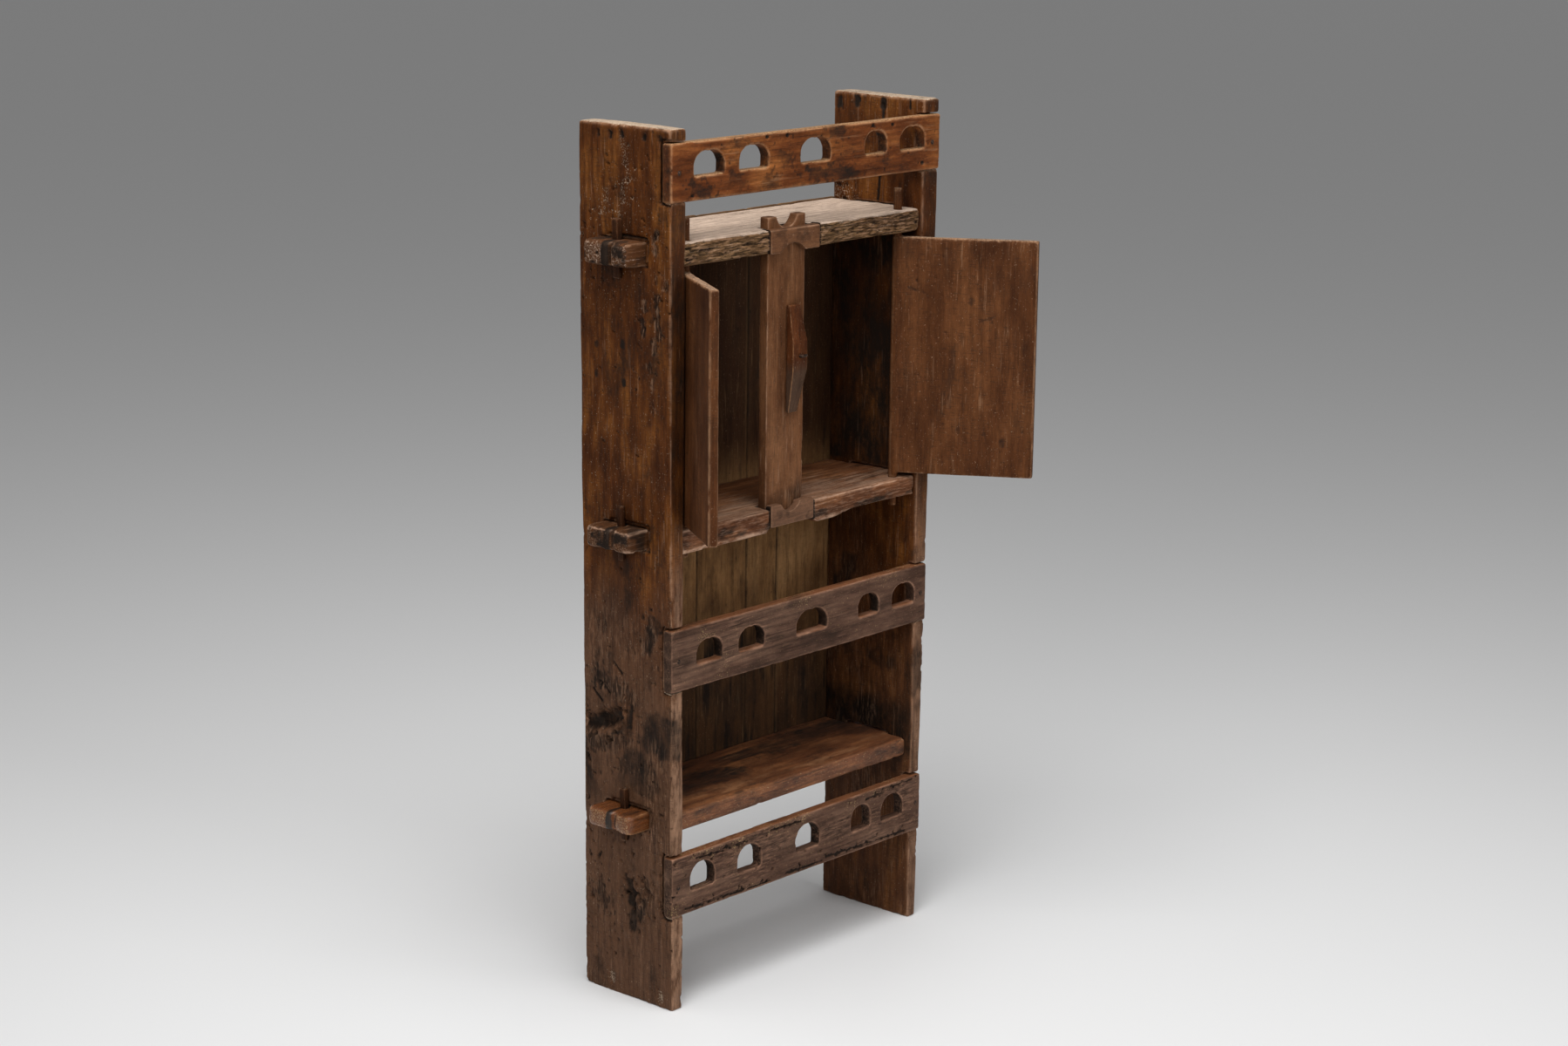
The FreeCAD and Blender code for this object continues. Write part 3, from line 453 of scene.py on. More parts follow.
# what most of this cabinet's timber shares; each piece changes what differs
plainTimber = dict(
    soot=(0.016, 0.01, 0.007), hole=(0.005, 0.003, 0.002), pith=(0.03, -0.11), ringGap=0.0075,
    mottle=(60, 13), rings=0.22, grime=0.75, wear=0.75, scuffs=0.3, endDry=0.05,
    checks=0.45, worms=0.8, dents=0.5, chatter=0.15, grit=1.0,
    rough=0.55, polish=0.0, relief=0.6, specular=0.07,
)


# painted shade in the gaps around the rail ends let into a side board's front edge
def railHousings(spec, outward):
    strokes = []
    front, rear = spec["depth"]
    for rail in ("top_rail", "middle_rail", "bottom_rail"):
        ends = [v.co.z / mm for v in frame["nodes"][rail].data.vertices if v.co.x * outward > spec["reach"]]
        upper, lower = max(ends) + spec["gap"], min(ends) - spec["gap"]
        corners = [(front, upper), (rear, upper), (rear, lower), (front, lower)]
        strokes += zip(corners, corners[1:])
    return strokes


# side boards: dark waxed planks, dull below, with knots, gouges and a rubbed front edge; heights in metres
nailHoles = [(55, 1382), (29, 1381), (5, 1384), (-43, 1383), (-76, 1382)]
sideBoards = dict(
    lay="upright", voxel=2.6, rounds=6, rub=0.9, chip=2.2, waver=1.3, ripple=0.5,
    look=dict(
        plainTimber, deep=(0.027, 0.0072, 0.002), mid=(0.082, 0.0245, 0.0052), bright=(0.175, 0.061, 0.012),
        stain=(0.104, 0.05, 0.027), pale=(0.42, 0.32, 0.23), worn=(0.36, 0.205, 0.125),
        worms=0.1, dents=0.0, chatter=0.4,
    ),
    dull=dict(start=0.8, full=0.42, drift=0.12, size=(0.05, 0.05, 0.15), lessInside=0.6),
    lowPits=dict(depth=0.9, soot=0.2, size=(0.009, 0.009, 0.02)),
    lowEaten=dict(share=0.4, size=(0.06, 0.06, 0.12)),
    blotches=dict(size=(0.05, 0.05, 0.075), strong=0.6, faint=0.25, above=(0.26, 0.36), below=(0.74, 0.62)),
    frontEdge=dict(
        soot=0.5, shadeAbove=(0.6, 0.85), wear=dict(left_side=0.9, right_side=0.5),
        wearBelow=(0.8, 0.6),
    ),
    topPale=0.7,
    leftMarks=dict(
        nailHalos=mark(spots(nailHoles, 4), 13, 0.3, soot=0.42, ragged=0.6),
        nailHoles=mark(spots(nailHoles, 2), 5, 5, soot=1, soft=0.4),
        wormTrack=mark(spots([
            (3, 1370), (-1, 1350), (-8, 1325), (-2, 1306), (0, 1290), (37, 1290), (47, 1266), (11, 1257),
        ], 6), 11, 0.7, bleach=0.27, ragged=0.9),
        gouges=mark(spots([
            (-66, 1170), (-69, 1140), (-69, 1120), (-67, 1103), (-71, 1086), (-64, 1065), (-42, 1127),
            (-38, 1102), (-40, 1087), (-88, 1162), (-66, 1238), (-66, 1215), (-54, 1033), (-58, 1011),
            (-58, 970),
        ], 5), 8, 1.4, soot=0.6, bleach=0.1, eaten=0.6, ragged=0.7),
        smallKnots=mark(spots([(62, 1056), (5, 1063), (62, 1011), (2, 1003)], 2), 7, 0.8, soot=0.8),
        tenonShade=mark([
            ((25, 1168), (-22, 1150)), ((20, 728), (4, 712)), ((-60, 1060), (-62, 960)),
        ], 28, 0.0, soot=0.42, ragged=0.8),
        darkBands=mark([
            ((92, 410), (8, 424)), ((-45, 589), (-56, 632)), ((60, 524), (-4, 500)), ((60, 165), (56, 150)),
        ], 22, 0.6, soot=0.62, eaten=0.5, ragged=1.0),
        hollow=mark([
            ((84, 440), (46, 453)), ((46, 453), (18, 467)),
        ], 19, 9, soot=0.72, ragged=0.6, soft=0.6),
        hollowLip=mark([((1, 492), (4, 444))], 9, -5, soft=0.6),
        # painted shade in the creases below the hollow and beside its lip
        hollowCreases=mark([
            ((92, 436), (74, 441)), ((12, 440), (36, 434)), ((-8, 488), (-6, 452)),
        ], 5, 2.5, soot=0.9),
        lowKnot=mark([
            ((0, 196), (-12, 178)), ((-12, 178), (-6, 160)), ((-40, 200), (-42, 180)),
            ((-42, 180), (-24, 140)),
        ], 11, 4, soot=0.75, ragged=0.7),
        lowKnotTail=mark([((-16, 150), (-10, 122))], 14, 2, soot=0.7),
        splits=mark([
            ((30, 552), (12, 536)), ((60, 515), (40, 500)), ((76, 500), (58, 484)), ((60, 230), (66, 222)),
        ], 3.5, 3, soot=0.9),
        paleChips=mark(spots([(-71, 17), (36, 24)], 5), 8, 2.5, bleach=0.45),
        backNicks=mark([((99, 388), (90, 387)), ((99, 317), (91, 317))], 5, 7, soot=0.9),
        # painted shade in the mortise gaps above and in front of each tenon
        mortiseRims=mark([
            ((29, 1227.5), (-46, 1227.5)), ((-46, 1227.5), (-46, 1189)), ((29, 781.5), (-46, 781.5)),
            ((-46, 781.5), (-46, 746)), ((29, 323.5), (-46, 323.5)), ((-46, 323.5), (-46, 290)),
        ], 5.5, 8, soot=1, ragged=0.2, soft=0.4),
    ),
    rightMarks=dict(
        knots=mark(spots([(85, 1387), (47, 1388), (-7, 1390)], 5), 8, 2.5, soot=0.9, ragged=0.6),
        cracks=mark([
            ((-7, 1388), (-8, 1366)), ((-3, 1270), (0, 1226)), ((-64, 1404), (-65, 1386)),
        ], 3.5, 3.5, soot=1),
    ),
    roughRear=dict(
        above=(1.2, 1.22), below=(1.262, 1.25), behind=(0.03, 0.06), bleach=0.26,
        pits=dict(depth=4, soot=0.75, size=0.012),
    ),
    cupboardShade=dict(share=0.65, above=(0.77, 0.79), below=(1.23, 1.21)),
    aboveShelfDark=dict(share=0.7, above=(0.27, 0.3), below=(0.46, 0.34), drift=0.06, size=0.08),
    housing=dict(reach=0.29, depth=(-98, -78), gap=1),
    housingGap=dict(width=4.5, depth=5, soot=1, ragged=0.3, soft=0.5),
)


# dull stain, pits and sooty blotches low down, painted shade on the upper part of the front edge, and the
# rubbed front edge below
def ageSide(board, spec, inside):
    height, dull, blotches, edge = board.places[:, 2], spec["dull"], spec["blotches"], spec["frontEdge"]
    low = ease(dull["start"], dull["full"], height + dull["drift"] * cloud(board.board, dull["size"], 71))
    board.paint("stain", low * (1 - dull["lessInside"] * inside))
    board.pitted(low, **spec["lowPits"])
    blotch = cloud(board.board, blotches["size"], board.seed + 75, 4)
    board.paint("soot", blotches["strong"] * ease(0.05, 0.5, blotch) * between(blotches, height))
    board.paint("soot", blotches["faint"] * ease(0.1, 0.6, blotch))
    frontEdge = board.faces(roughly, "front")
    # painted shade on the upper part of the front edge
    board.paint("soot", edge["soot"] * frontEdge * ease(*edge["shadeAbove"], height))
    board.paint("wear", edge["wear"][board.node] * frontEdge * ease(*edge["wearBelow"], height))
    eaten = board.patches(0.0, 0.5, spec["lowEaten"]["size"], board.seed + 79)
    board.paint("eaten", spec["lowEaten"]["share"] * low * eaten)
    board.paint("bleach", spec["topPale"] * board.faces(fully, "up"))


# painted shade in the cupboard, darkening just above the bottom shelf, and a rough patch at the rear
def darkenInside(board, spec, inside):
    height, rough, shelf = board.places[:, 2], spec["roughRear"], spec["aboveShelfDark"]
    rear = inside * between(rough, height) * ease(*rough["behind"], board.places[:, 1])
    board.pitted(rear, **rough["pits"])
    board.paint("bleach", rough["bleach"] * rear)
    # painted shade on the inner face within the cupboard
    board.paint("soot", spec["cupboardShade"]["share"] * inside * between(spec["cupboardShade"], height))
    drift = shelf["drift"] * cloud(board.board, shelf["size"], 73)
    board.paint("soot", shelf["share"] * inside * between(shelf, height, drift))


sideWood = oldWood("side_board_wood", sideBoards["look"])
for seed, (node, outward) in enumerate((("left_side", -1), ("right_side", 1)), 3):
    board = hew(node, sideBoards, seed)
    inside = board.faces(roughly, "right" if node == "left_side" else "left")
    ageSide(board, sideBoards, inside)
    if node == "left_side":
        board.scars(outward, sideBoards["leftMarks"])
    else:
        board.scars(-outward, sideBoards["rightMarks"])
        darkenInside(board, sideBoards, inside)
    # painted shade in the housing gaps round the rail ends
    board.scar(outward, railHousings(sideBoards["housing"], outward), **sideBoards["housingGap"])
    board.settle(sideWood, "case", "side_wood")
print("side boards hewn")

# shelves: the top one is bleached above and worm-eaten along its front, the others are rubbed brown
shelfBoards = dict(
    top_shelf=dict(
        lay="shelf", voxel=2.0, rounds=8, rub=0.9, chip=3.0, waver=0.9, ripple=0.6,
        look=dict(
            plainTimber, deep=(0.06, 0.029, 0.012), mid=(0.125, 0.064, 0.027), bright=(0.2, 0.112, 0.05),
            stain=(0.078, 0.029, 0.0105), pale=(0.52, 0.39, 0.3), worn=(0.32, 0.182, 0.108),
            pith=(-0.02, -0.09), grime=0.3, checks=1.0, rough=0.66, relief=0.8, grit=0.4,
        ),
        tipBleach=0.26, tipSoot=0.8, lobeSoot=0.62, keeper="top_keeper_block",
        furrows=dict(
            fine=(0.0045, 0.0045, 0.013), broad=(0.01, 0.01, 0.045), broadShare=0.6,
            skin=0.6, deep=2.2, soot=0.7,
        ),
        bleached=dict(least=0.75, size=(0.03, 0.03, 0.2), front=0.18, frontSize=(0.02, 0.02, 0.07)),
    ),
    middle_shelf=dict(
        lay="shelf", voxel=2.4, rounds=9, rub=1.0, chip=2.4, waver=1.0, ripple=0.5,
        look=dict(
            plainTimber, deep=(0.045, 0.0145, 0.006), mid=(0.145, 0.054, 0.022), bright=(0.26, 0.108, 0.043),
            stain=(0.072, 0.028, 0.0105), pale=(0.27, 0.165, 0.108), worn=(0.47, 0.295, 0.2),
            pith=(0.05, -0.1), mottle=(42, 9), grime=0.6, wear=1.0, worms=0.6, grit=0.2,
        ),
        tipBleach=0.26, tipSoot=0.8, lobeSoot=0.62, keeper="middle_keeper_block",
        frontEaten=0.3, frontSmudges=0.6,
        rubbed=dict(bleach=0.55, reach=(0.16, 0.02), drift=0.05, size=0.06),
        belly=dict(
            left=(-0.279, -0.076), right=(0.029, 0.092), end=(0.28, 0.26),
            drop=5.0, thin=2.5, reach=0.06,
        ),
    ),
    bottom_shelf=dict(
        lay="shelf", voxel=2.6, rounds=7, rub=0.9, chip=1.8, waver=0.9, ripple=0.4,
        look=dict(
            plainTimber, deep=(0.038, 0.012, 0.005), mid=(0.14, 0.048, 0.018), bright=(0.28, 0.11, 0.04),
            stain=(0.138, 0.044, 0.0135), pale=(0.42, 0.295, 0.165), worn=(0.36, 0.175, 0.08),
            pith=(0.05, -0.1), mottle=(42, 9), worms=0.5, polish=0.3, specular=0.3,
        ),
        tipBleach=0.34, tipSoot=0.0, lobeSoot=0.0, keeper=None,
        frontEaten=0.2, frontSmudges=0.4,
        streaks=dict(size=(0.02, 0.02, 0.13), soot=0.72, darkFrom=(0.02, 0.13), wear=0.9, brightTo=(0.12, 0.0)),
        smear=mark([
            ((0, -215), (-8, -60)), ((40, 60), (60, 260)),
        ], 48, 0.0, soot=0.66, ragged=0.5, soft=1.2),
    ),
    tenons=dict(
        start=(0.288, 0.3), roundFrom=(0.33, 0.35), rounds=14, middle=0.0035,
        groove=(0.007, 0.003), grooveShade=0.95, pits=dict(depth=0.8, soot=0.3),
    ),
    front=dict(
        reach=(0.02, 0.008), pits=dict(depth=0.6, soot=0.25), bleach=0.1,
        smudgeSize=(0.013, 0.013, 0.035),
    ),
    seams=dict(gap=(0.006, 0.003), reach=(0.022, 0.015), postGap=(0.007, 0.003), postSlotShade=0.85),
)


# tenons are stained and pitted, with painted shade in the groove between their lobes, and blotched at the
# tips
def ageTenons(board, spec, tenons, tenon):
    board.paint("stain", tenon)
    board.pitted(tenon, **tenons["pits"])
    # painted shade in the groove between the lobes
    groove = ease(*tenons["groove"], np.abs(board.places[:, 1] - tenons["middle"]))
    board.paint("soot", tenons["grooveShade"] * tenon * groove)
    tips = board.faces((0.5, 0.8), "left", "right") * tenon
    board.paint("soot", spec["tipSoot"] * tips * board.patches(0.0, 0.35, 0.016, 111))
    board.paint("soot", spec["lobeSoot"] * tenon * board.patches(-0.1, 0.45, 0.02, 105))
    board.paint("bleach", spec["tipBleach"] * tips)


# the top shelf: furrows of old worm along its front, bleached above
def eatFront(board, spec, nearFront, upper):
    furrows, bleached = spec["furrows"], spec["bleached"]
    furrow = board.patches(0.15, 0.6, furrows["fine"], 91)
    furrow = furrow + furrows["broadShare"] * board.patches(0.3, 0.75, furrows["broad"], 97)
    board.push -= nearFront * (furrows["skin"] + furrows["deep"] * furrow) * mm
    board.paint("soot", nearFront * furrows["soot"] * ease(0.55, 1.25, furrow))
    board.paint("eaten", nearFront)
    least, patches = bleached["least"], board.patches(-0.5, 0.5, bleached["size"], 99)
    board.paint("bleach", upper * (least + (1 - least) * patches))
    board.paint("bleach", nearFront * bleached["front"] * board.patches(0.1, 0.7, bleached["frontSize"], 101))


# the lower shelves: a pitted, smudged front
def smudgeFront(board, spec, front, nearFront):
    board.pitted(nearFront, **front["pits"])
    board.paint("eaten", nearFront * spec["frontEaten"])
    board.paint("bleach", nearFront * front["bleach"])
    smudges = board.patches(-0.1, 0.5, front["smudgeSize"], board.seed + 107)
    board.paint("soot", nearFront * smudges * spec["frontSmudges"])


# the bottom shelf: dark streaks behind, partly painted shade, bright streaks in front, partly worn and partly
# painted highlight, and a smear along the middle
def streakTop(board, spec, upper, frontGap):
    streaks, upperFace = spec["streaks"], 1
    streak = cloud(board.board, streaks["size"], 109)
    dark, rubbed = ease(-0.3, 0.6, streak), ease(-0.2, 0.5, -streak)
    # streaks darken towards the rear, partly as painted shade; streaks at the front brighten, partly as
    # painted highlight
    board.paint("soot", upper * streaks["soot"] * dark * ease(*streaks["darkFrom"], frontGap))
    board.paint("wear", upper * streaks["wear"] * rubbed * ease(*streaks["brightTo"], frontGap))
    board.scar(upperFace, **spec["smear"])


# the middle shelf hangs lower left of its keeper block and in a nose right of it, then thins out
def hangBelly(board, spec):
    along, frontGap = board.places[:, 0], board.places[:, 1] - board.places[:, 1].min()
    under = board.faces(loosely, "down") * ease(spec["reach"], spec["reach"] / 3, frontGap)
    leftStart, leftEnd = spec["left"]
    noseStart, noseEnd = spec["right"]
    thick = ease(leftStart - 0.02, leftStart, along) * ease(leftEnd, leftEnd - 0.01, along)
    nose = ease(noseStart, noseStart + 0.01, along) * ease(noseEnd + 0.03, noseEnd - 0.02, along)
    slim = ease(noseEnd + 0.01, noseEnd + 0.05, along) * ease(*spec["end"], along)
    board.push += under * (spec["drop"] * (thick + nose) - spec["thin"] * slim) * mm


# painted shade beside the keeper block and in the slot round the centre post
def darkenSeams(board, keeper, seams, frontGap):
    across, depth = board.places[:, 0], board.places[:, 1]
    left, right = (corner.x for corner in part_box(keeper))
    seam = np.minimum(np.abs(across - left), np.abs(across - right))
    board.paint("soot", ease(*seams["gap"], seam) * ease(*seams["reach"], frontGap))
    near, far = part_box("centre_post")
    slotGap = np.maximum(np.abs(across - (near.x + far.x) / 2) - (far.x - near.x) / 2, depth - far.y)
    board.paint("soot", seams["postSlotShade"] * ease(*seams["postGap"], slotGap))


for seed, node in enumerate(("top_shelf", "middle_shelf", "bottom_shelf"), 11):
    spec, tenons, front = shelfBoards[node], shelfBoards["tenons"], shelfBoards["front"]
    board = hew(node, spec, seed)
    fromMiddle = np.abs(board.places[:, 0])
    tenon = ease(*tenons["start"], fromMiddle)
    board.roundOff(ease(*tenons["roundFrom"], fromMiddle), tenons["rounds"])
    frontGap = board.places[:, 1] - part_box(node)[0].y
    nearFront = board.faces(loosely, "front") * ease(*front["reach"], frontGap) * (1 - tenon)
    upper = board.faces(squarely, "up") * (1 - tenon)
    ageTenons(board, spec, tenons, tenon)
    if node == "top_shelf":
        eatFront(board, spec, nearFront, upper)
    else:
        smudgeFront(board, spec, front, nearFront)
    if node == "middle_shelf":
        rubbed = spec["rubbed"]
        reach = frontGap + rubbed["drift"] * cloud(board.board, rubbed["size"], 103)
        board.paint("bleach", rubbed["bleach"] * upper * ease(*rubbed["reach"], reach))
        board.rubFront(1 - tenon)
        hangBelly(board, spec["belly"])
    if node == "bottom_shelf":
        streakTop(board, spec, upper, frontGap)
    if spec["keeper"]:
        darkenSeams(board, spec["keeper"], shelfBoards["seams"], frontGap)
    board.settle(oldWood(f"{node}_timber", spec["look"]), "case", "shelf_wood")
print("shelves hewn")

# rails: pierced boards, the top one waxed red, the lower ones drier and greyer
railBoards = dict(
    lay="rail", voxel=2.0, rounds=4, rub=0.95, chip=1.2, waver=0.9, ripple=0.4,
    topLook=dict(
        plainTimber, deep=(0.045, 0.0115, 0.0032), mid=(0.128, 0.036, 0.0095), bright=(0.245, 0.084, 0.022),
        stain=(0.1, 0.05, 0.03), pale=(0.34, 0.2, 0.1), worn=(0.42, 0.22, 0.11),
        ringGap=0.0065, checks=0.4, worms=0.7, rough=0.5, grime=0.85,
    ),
    lowLook=dict(
        plainTimber, deep=(0.045, 0.021, 0.0135), mid=(0.095, 0.049, 0.0315), bright=(0.145, 0.08, 0.052),
        stain=(0.185, 0.07, 0.029), pale=(0.4, 0.27, 0.13), worn=(0.36, 0.195, 0.125),
        pith=(-0.04, -0.08), ringGap=0.006, rings=0.3, checks=0.4, rough=0.6,
        mottle=(45, 9), grime=0.5,
    ),
    margin=(0.012, 0.016), revealShade=0.68, revealTo=(0.27, 0.26), endShade=0.55,
    endFrom=(0.25, 0.28), topPale=0.6, sillHighlight=0.8,
    eaten=dict(middle_rail=0.04, bottom_rail=0.5), eatenSize=(0.03, 0.03, 0.12),
    pits=dict(depth=0.7, soot=0.3, size=(0.006, 0.006, 0.03)),
    specks=dict(bleach=0.27, below=0.035, left=(-0.1, -0.26), size=0.04),
    smudges=dict(soot=0.42, size=(0.03, 0.03, 0.1)),
    topMarks=dict(
        soot=mark([
            ((1316, -176), (1306, -158)), ((1299, -100), (1298, -80)), ((1340, -70), (1336, -52)),
            ((1306, 5), (1302, 100)), ((1306, -262), (1298, -236)), ((1371, 50), (1369, 72)),
        ], 17, 0.2, soot=0.56, ragged=1.2),
        dots=mark(spots([
            (1296, -265), (1372, -100), (1371, -54), (1371, 151), (1369, 198), (1301, 275),
        ], 1), 4, 3, soot=1),
    ),
    bottomCracks=mark([
        ((245, -251), (241, -189)), ((245, -189), (242, -131)), ((247, -76), (244, -1)),
        ((242, 161), (243, 211)), ((249, 207), (249, 281)), ((165, -274), (163, -233)),
        ((165, -227), (162, -143)), ((161, -130), (161, -75)), ((163, -37), (162, 52)),
        ((166, 64), (164, 176)), ((163, 189), (162, 264)), ((197, -325), (191, -300)),
    ], 2.6, 2.6, soot=1, ragged=1.1),
)


# the lower rails: up-facing edges and sills stained orange and worn bright, partly as painted highlight,
# pits, golden specks along the top and the left end
def ageLowRail(board, spec, upperEdge, pierced, topGap):
    specks, eaten = spec["specks"], spec["eaten"][board.node]
    # up-facing faces are painted orange and the sills bright, partly as painted highlight where light falls
    # from above
    board.paint("stain", upperEdge)
    board.paint("wear", spec["sillHighlight"] * upperEdge * pierced)
    board.paint("eaten", eaten * board.patches(-0.1, 0.5, spec["eatenSize"], board.seed + 81))
    board.pitted(np.full(len(board.places), eaten), **spec["pits"])
    speckled = ease(specks["below"], 0.0, topGap) + ease(*specks["left"], board.places[:, 0])
    speckled = np.minimum(speckled, 1) * board.patches(-0.1, 0.5, specks["size"], board.seed + 87)
    board.paint("bleach", specks["bleach"] * speckled)


topRailWood = oldWood("top_rail_wood", railBoards["topLook"])
lowRailWood = oldWood("lower_rail_wood", railBoards["lowLook"])
frontFace = -1
for seed, node in enumerate(("top_rail", "middle_rail", "bottom_rail"), 21):
    board = hew(node, railBoards, seed)
    low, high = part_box(node)
    bottomGap, topGap = board.places[:, 2] - low.z, high.z - board.places[:, 2]
    pierced = ease(*railBoards["margin"], bottomGap) * ease(*railBoards["margin"], topGap)
    fromMiddle = np.abs(board.places[:, 0])
    reveal = board.faces(roughly, "left", "right") * pierced * ease(*railBoards["revealTo"], fromMiddle)
    ends = board.faces(squarely, "left", "right") * ease(*railBoards["endFrom"], fromMiddle)
    # painted shade in the arch reveals and on the rail ends
    board.paint("soot", railBoards["revealShade"] * reveal)
    board.paint("soot", railBoards["endShade"] * ends)
    upperEdge = board.faces(squarely, "up")
    if node == "top_rail":
        board.scars(frontFace, railBoards["topMarks"])
        # painted highlight: the top rail's upper edge is painted pale
        board.paint("bleach", railBoards["topPale"] * upperEdge)
    elif node == "middle_rail":
        ageLowRail(board, railBoards, upperEdge, pierced, topGap)
        smudges = board.patches(-0.1, 0.6, railBoards["smudges"]["size"], seed + 83)
        board.paint("soot", railBoards["smudges"]["soot"] * smudges)
    else:
        ageLowRail(board, railBoards, upperEdge * (1 - pierced), pierced, topGap)
        board.scar(frontFace, **railBoards["bottomCracks"])
    board.settle(topRailWood if node == "top_rail" else lowRailWood, "case", "rail_wood")
print("rails hewn")

# doors: smoother boards with their pintles, knotty on the inner face
doorLeaves = dict(
    lay="leaf", voxel=2.5, rounds=5, rub=0.8, chip=0.8, waver=0.35, ripple=0.2,
    look=dict(
        plainTimber, deep=(0.039, 0.0119, 0.0035), mid=(0.076, 0.0255, 0.008), bright=(0.13, 0.048, 0.016),
        stain=(0.11, 0.05, 0.028), pale=(0.34, 0.22, 0.14), worn=(0.34, 0.185, 0.1),
        pith=(0.1, -0.06), ringGap=0.01, mottle=(26, 6), rings=0.15, grime=0.3,
        checks=0.25, worms=0.35, dents=0.4, relief=0.45, chatter=0.45,
    ),
    topPale=0.6,
    rightMarks=dict(
        knots=mark(spots([(125.5, 1079), (141.5, 863), (67.5, 845)], 3), 7, 0.6, soot=0.6),
        streak=mark([((144.5, 1015), (163.5, 912))], 12, 0.1, soot=0.34, ragged=0.8),
        scratches=mark([
            ((111.5, 1045), (73.5, 1061)), ((100.5, 870), (94.5, 845)), ((230.5, 1098), (200.5, 1090)),
        ], 3, 0.7, soot=0.4, ragged=0.9),
    ),
)
doorWood = oldWood("door_wood", doorLeaves["look"])
innerFace = 1
for seed, node in enumerate(("left_door", "right_door"), 31):
    leaf = hew(node, doorLeaves, seed)
    if node == "right_door":
        leaf.scars(innerFace, doorLeaves["rightMarks"])
    leaf.keepClear()
    # painted highlight: the leaves' upward faces are painted pale
    leaf.paint("bleach", doorLeaves["topPale"] * leaf.faces(fully, "up"))
    leaf.settle(doorWood, node, "door_wood")
print("doors hewn")

# cupboard fittings: the post, the keeper blocks that lock it, and the turn button
smallPiece = dict(lay="leaf", rounds=8, rub=0.95, chip=0.8, waver=0.4, ripple=0.3)
fittings = dict(
    post=dict(smallPiece, voxel=2.0, rounds=6, rub=0.9, chip=1.2, waver=0.6),
    block=dict(smallPiece, lay="rail", voxel=1.5),
    button=dict(smallPiece, voxel=1.3, chip=0.6, waver=0.3),
    look=dict(
        plainTimber, deep=(0.064, 0.0235, 0.0092), mid=(0.122, 0.049, 0.02), bright=(0.185, 0.08, 0.0345),
        stain=(0.15, 0.078, 0.046), pale=(0.32, 0.21, 0.14), worn=(0.38, 0.22, 0.135),
        pith=(0.02, -0.05), ringGap=0.009, mottle=(36, 8), rings=0.12, grime=0.3,
        checks=0.3, worms=0.4, dents=0.4,
    ),
    buttonLook=dict(
        plainTimber, deep=(0.036, 0.0105, 0.0036), mid=(0.092, 0.028, 0.0088), bright=(0.165, 0.056, 0.018),
        stain=(0.066, 0.036, 0.022), pale=(0.3, 0.21, 0.15), worn=(0.28, 0.14, 0.065),
        pith=(0.02, -0.02), ringGap=0.004, grime=0.4, checks=0.2, worms=0.2, rough=0.42,
    ),
    buttonStain=(0.0, -0.03), postFoot=dict(reach=0.05, soot=0.42),
    gapShade=0.0035, gapBehind=(0.002, 0.004), blockRub=0.8, blockSoot=0.4, blotSize=0.018,
    blockStain=dict(top_keeper_block=0.2, middle_keeper_block=0.8),
)


# painted shade in the side gaps, rubbed front arrises and a little soot
def ageBlock(block, spec):
    low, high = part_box(block.node)
    sideGap = np.minimum(block.places[:, 0] - low.x, high.x - block.places[:, 0])
    behind = ease(*spec["gapBehind"], block.places[:, 1] - low.y)
    # painted shade on the side faces a little behind the block's front face
    block.paint("soot", behind * ease(spec["gapShade"], 0.0, sideGap))
    block.paint("stain", spec["blockStain"][block.node])
    block.rubFront(spec["blockRub"])
    block.paint("soot", spec["blockSoot"] * block.patches(0.0, 0.6, spec["blotSize"], block.seed + 85))


fittingWood = oldWood("post_wood", fittings["look"])
buttonWood = oldWood("turn_button_wood", fittings["buttonLook"])
for seed, node in enumerate(("centre_post", "top_keeper_block", "middle_keeper_block", "turn_button"), 41):
    kind = node.split("_")[-1]
    fitting = hew(node, fittings[kind], seed)
    if kind == "button":
        fitting.keepClear()
        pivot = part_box("turn_button_nail")[0].z
        fitting.paint("stain", ease(*fittings["buttonStain"], fitting.places[:, 2] - pivot))
        fitting.settle(buttonWood, "turn_button", "post_wood")
        continue
    if kind == "block":
        ageBlock(fitting, fittings)
    else:
        fitting.keepClear()
        # painted shade low on the post, just above the middle keeper block
        footGap = fitting.places[:, 2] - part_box("middle_keeper_block")[1].z
        foot = fittings["postFoot"]
        fitting.paint("soot", foot["soot"] * ease(foot["reach"], 0.0, footGap))
    fitting.settle(fittingWood, "case", "post_wood")
print("cupboard fittings hewn")

# back planks: dry golden-brown boards with painted shade in the cupboard, drips, and soot with painted shade
# low down behind the bottom shelf
backPlanks = dict(
    lay="leaf", voxel=3.6, rounds=3, rub=0.4, chip=0.8, waver=0.6, ripple=0.3,
    look=dict(
        plainTimber, deep=(0.106, 0.049, 0.018), mid=(0.208, 0.104, 0.04), bright=(0.295, 0.159, 0.067),
        stain=(0.034, 0.0135, 0.006), pale=(0.26, 0.17, 0.1), worn=(0.22, 0.13, 0.06),
        pith=(0.04, -0.05), ringGap=0.012, mottle=(30, 6), rings=0.15, grime=0.4,
        wear=0.2, rough=0.7,
    ),
    swell=0.45, edge=(0.008, 0.005), seamSoot=0.6, seam=(0.004, 0.001), inside=(-0.2, 0.4),
    cupboardBackShade=(0.72, 0.86), streakSize=(0.025, 0.03, 0.25), dripSize=(0.011, 0.03, 0.16),
    lowStainAndShade=dict(share=0.9, heights=(0.62, 0.4), drift=0.06),
    lowSootAndShade=dict(share=0.42, heights=(0.52, 0.36), drift=0.09),
    lowDrips=dict(share=0.66, heights=(0.58, 0.46), drift=0.05), faintDrips=0.4,
)


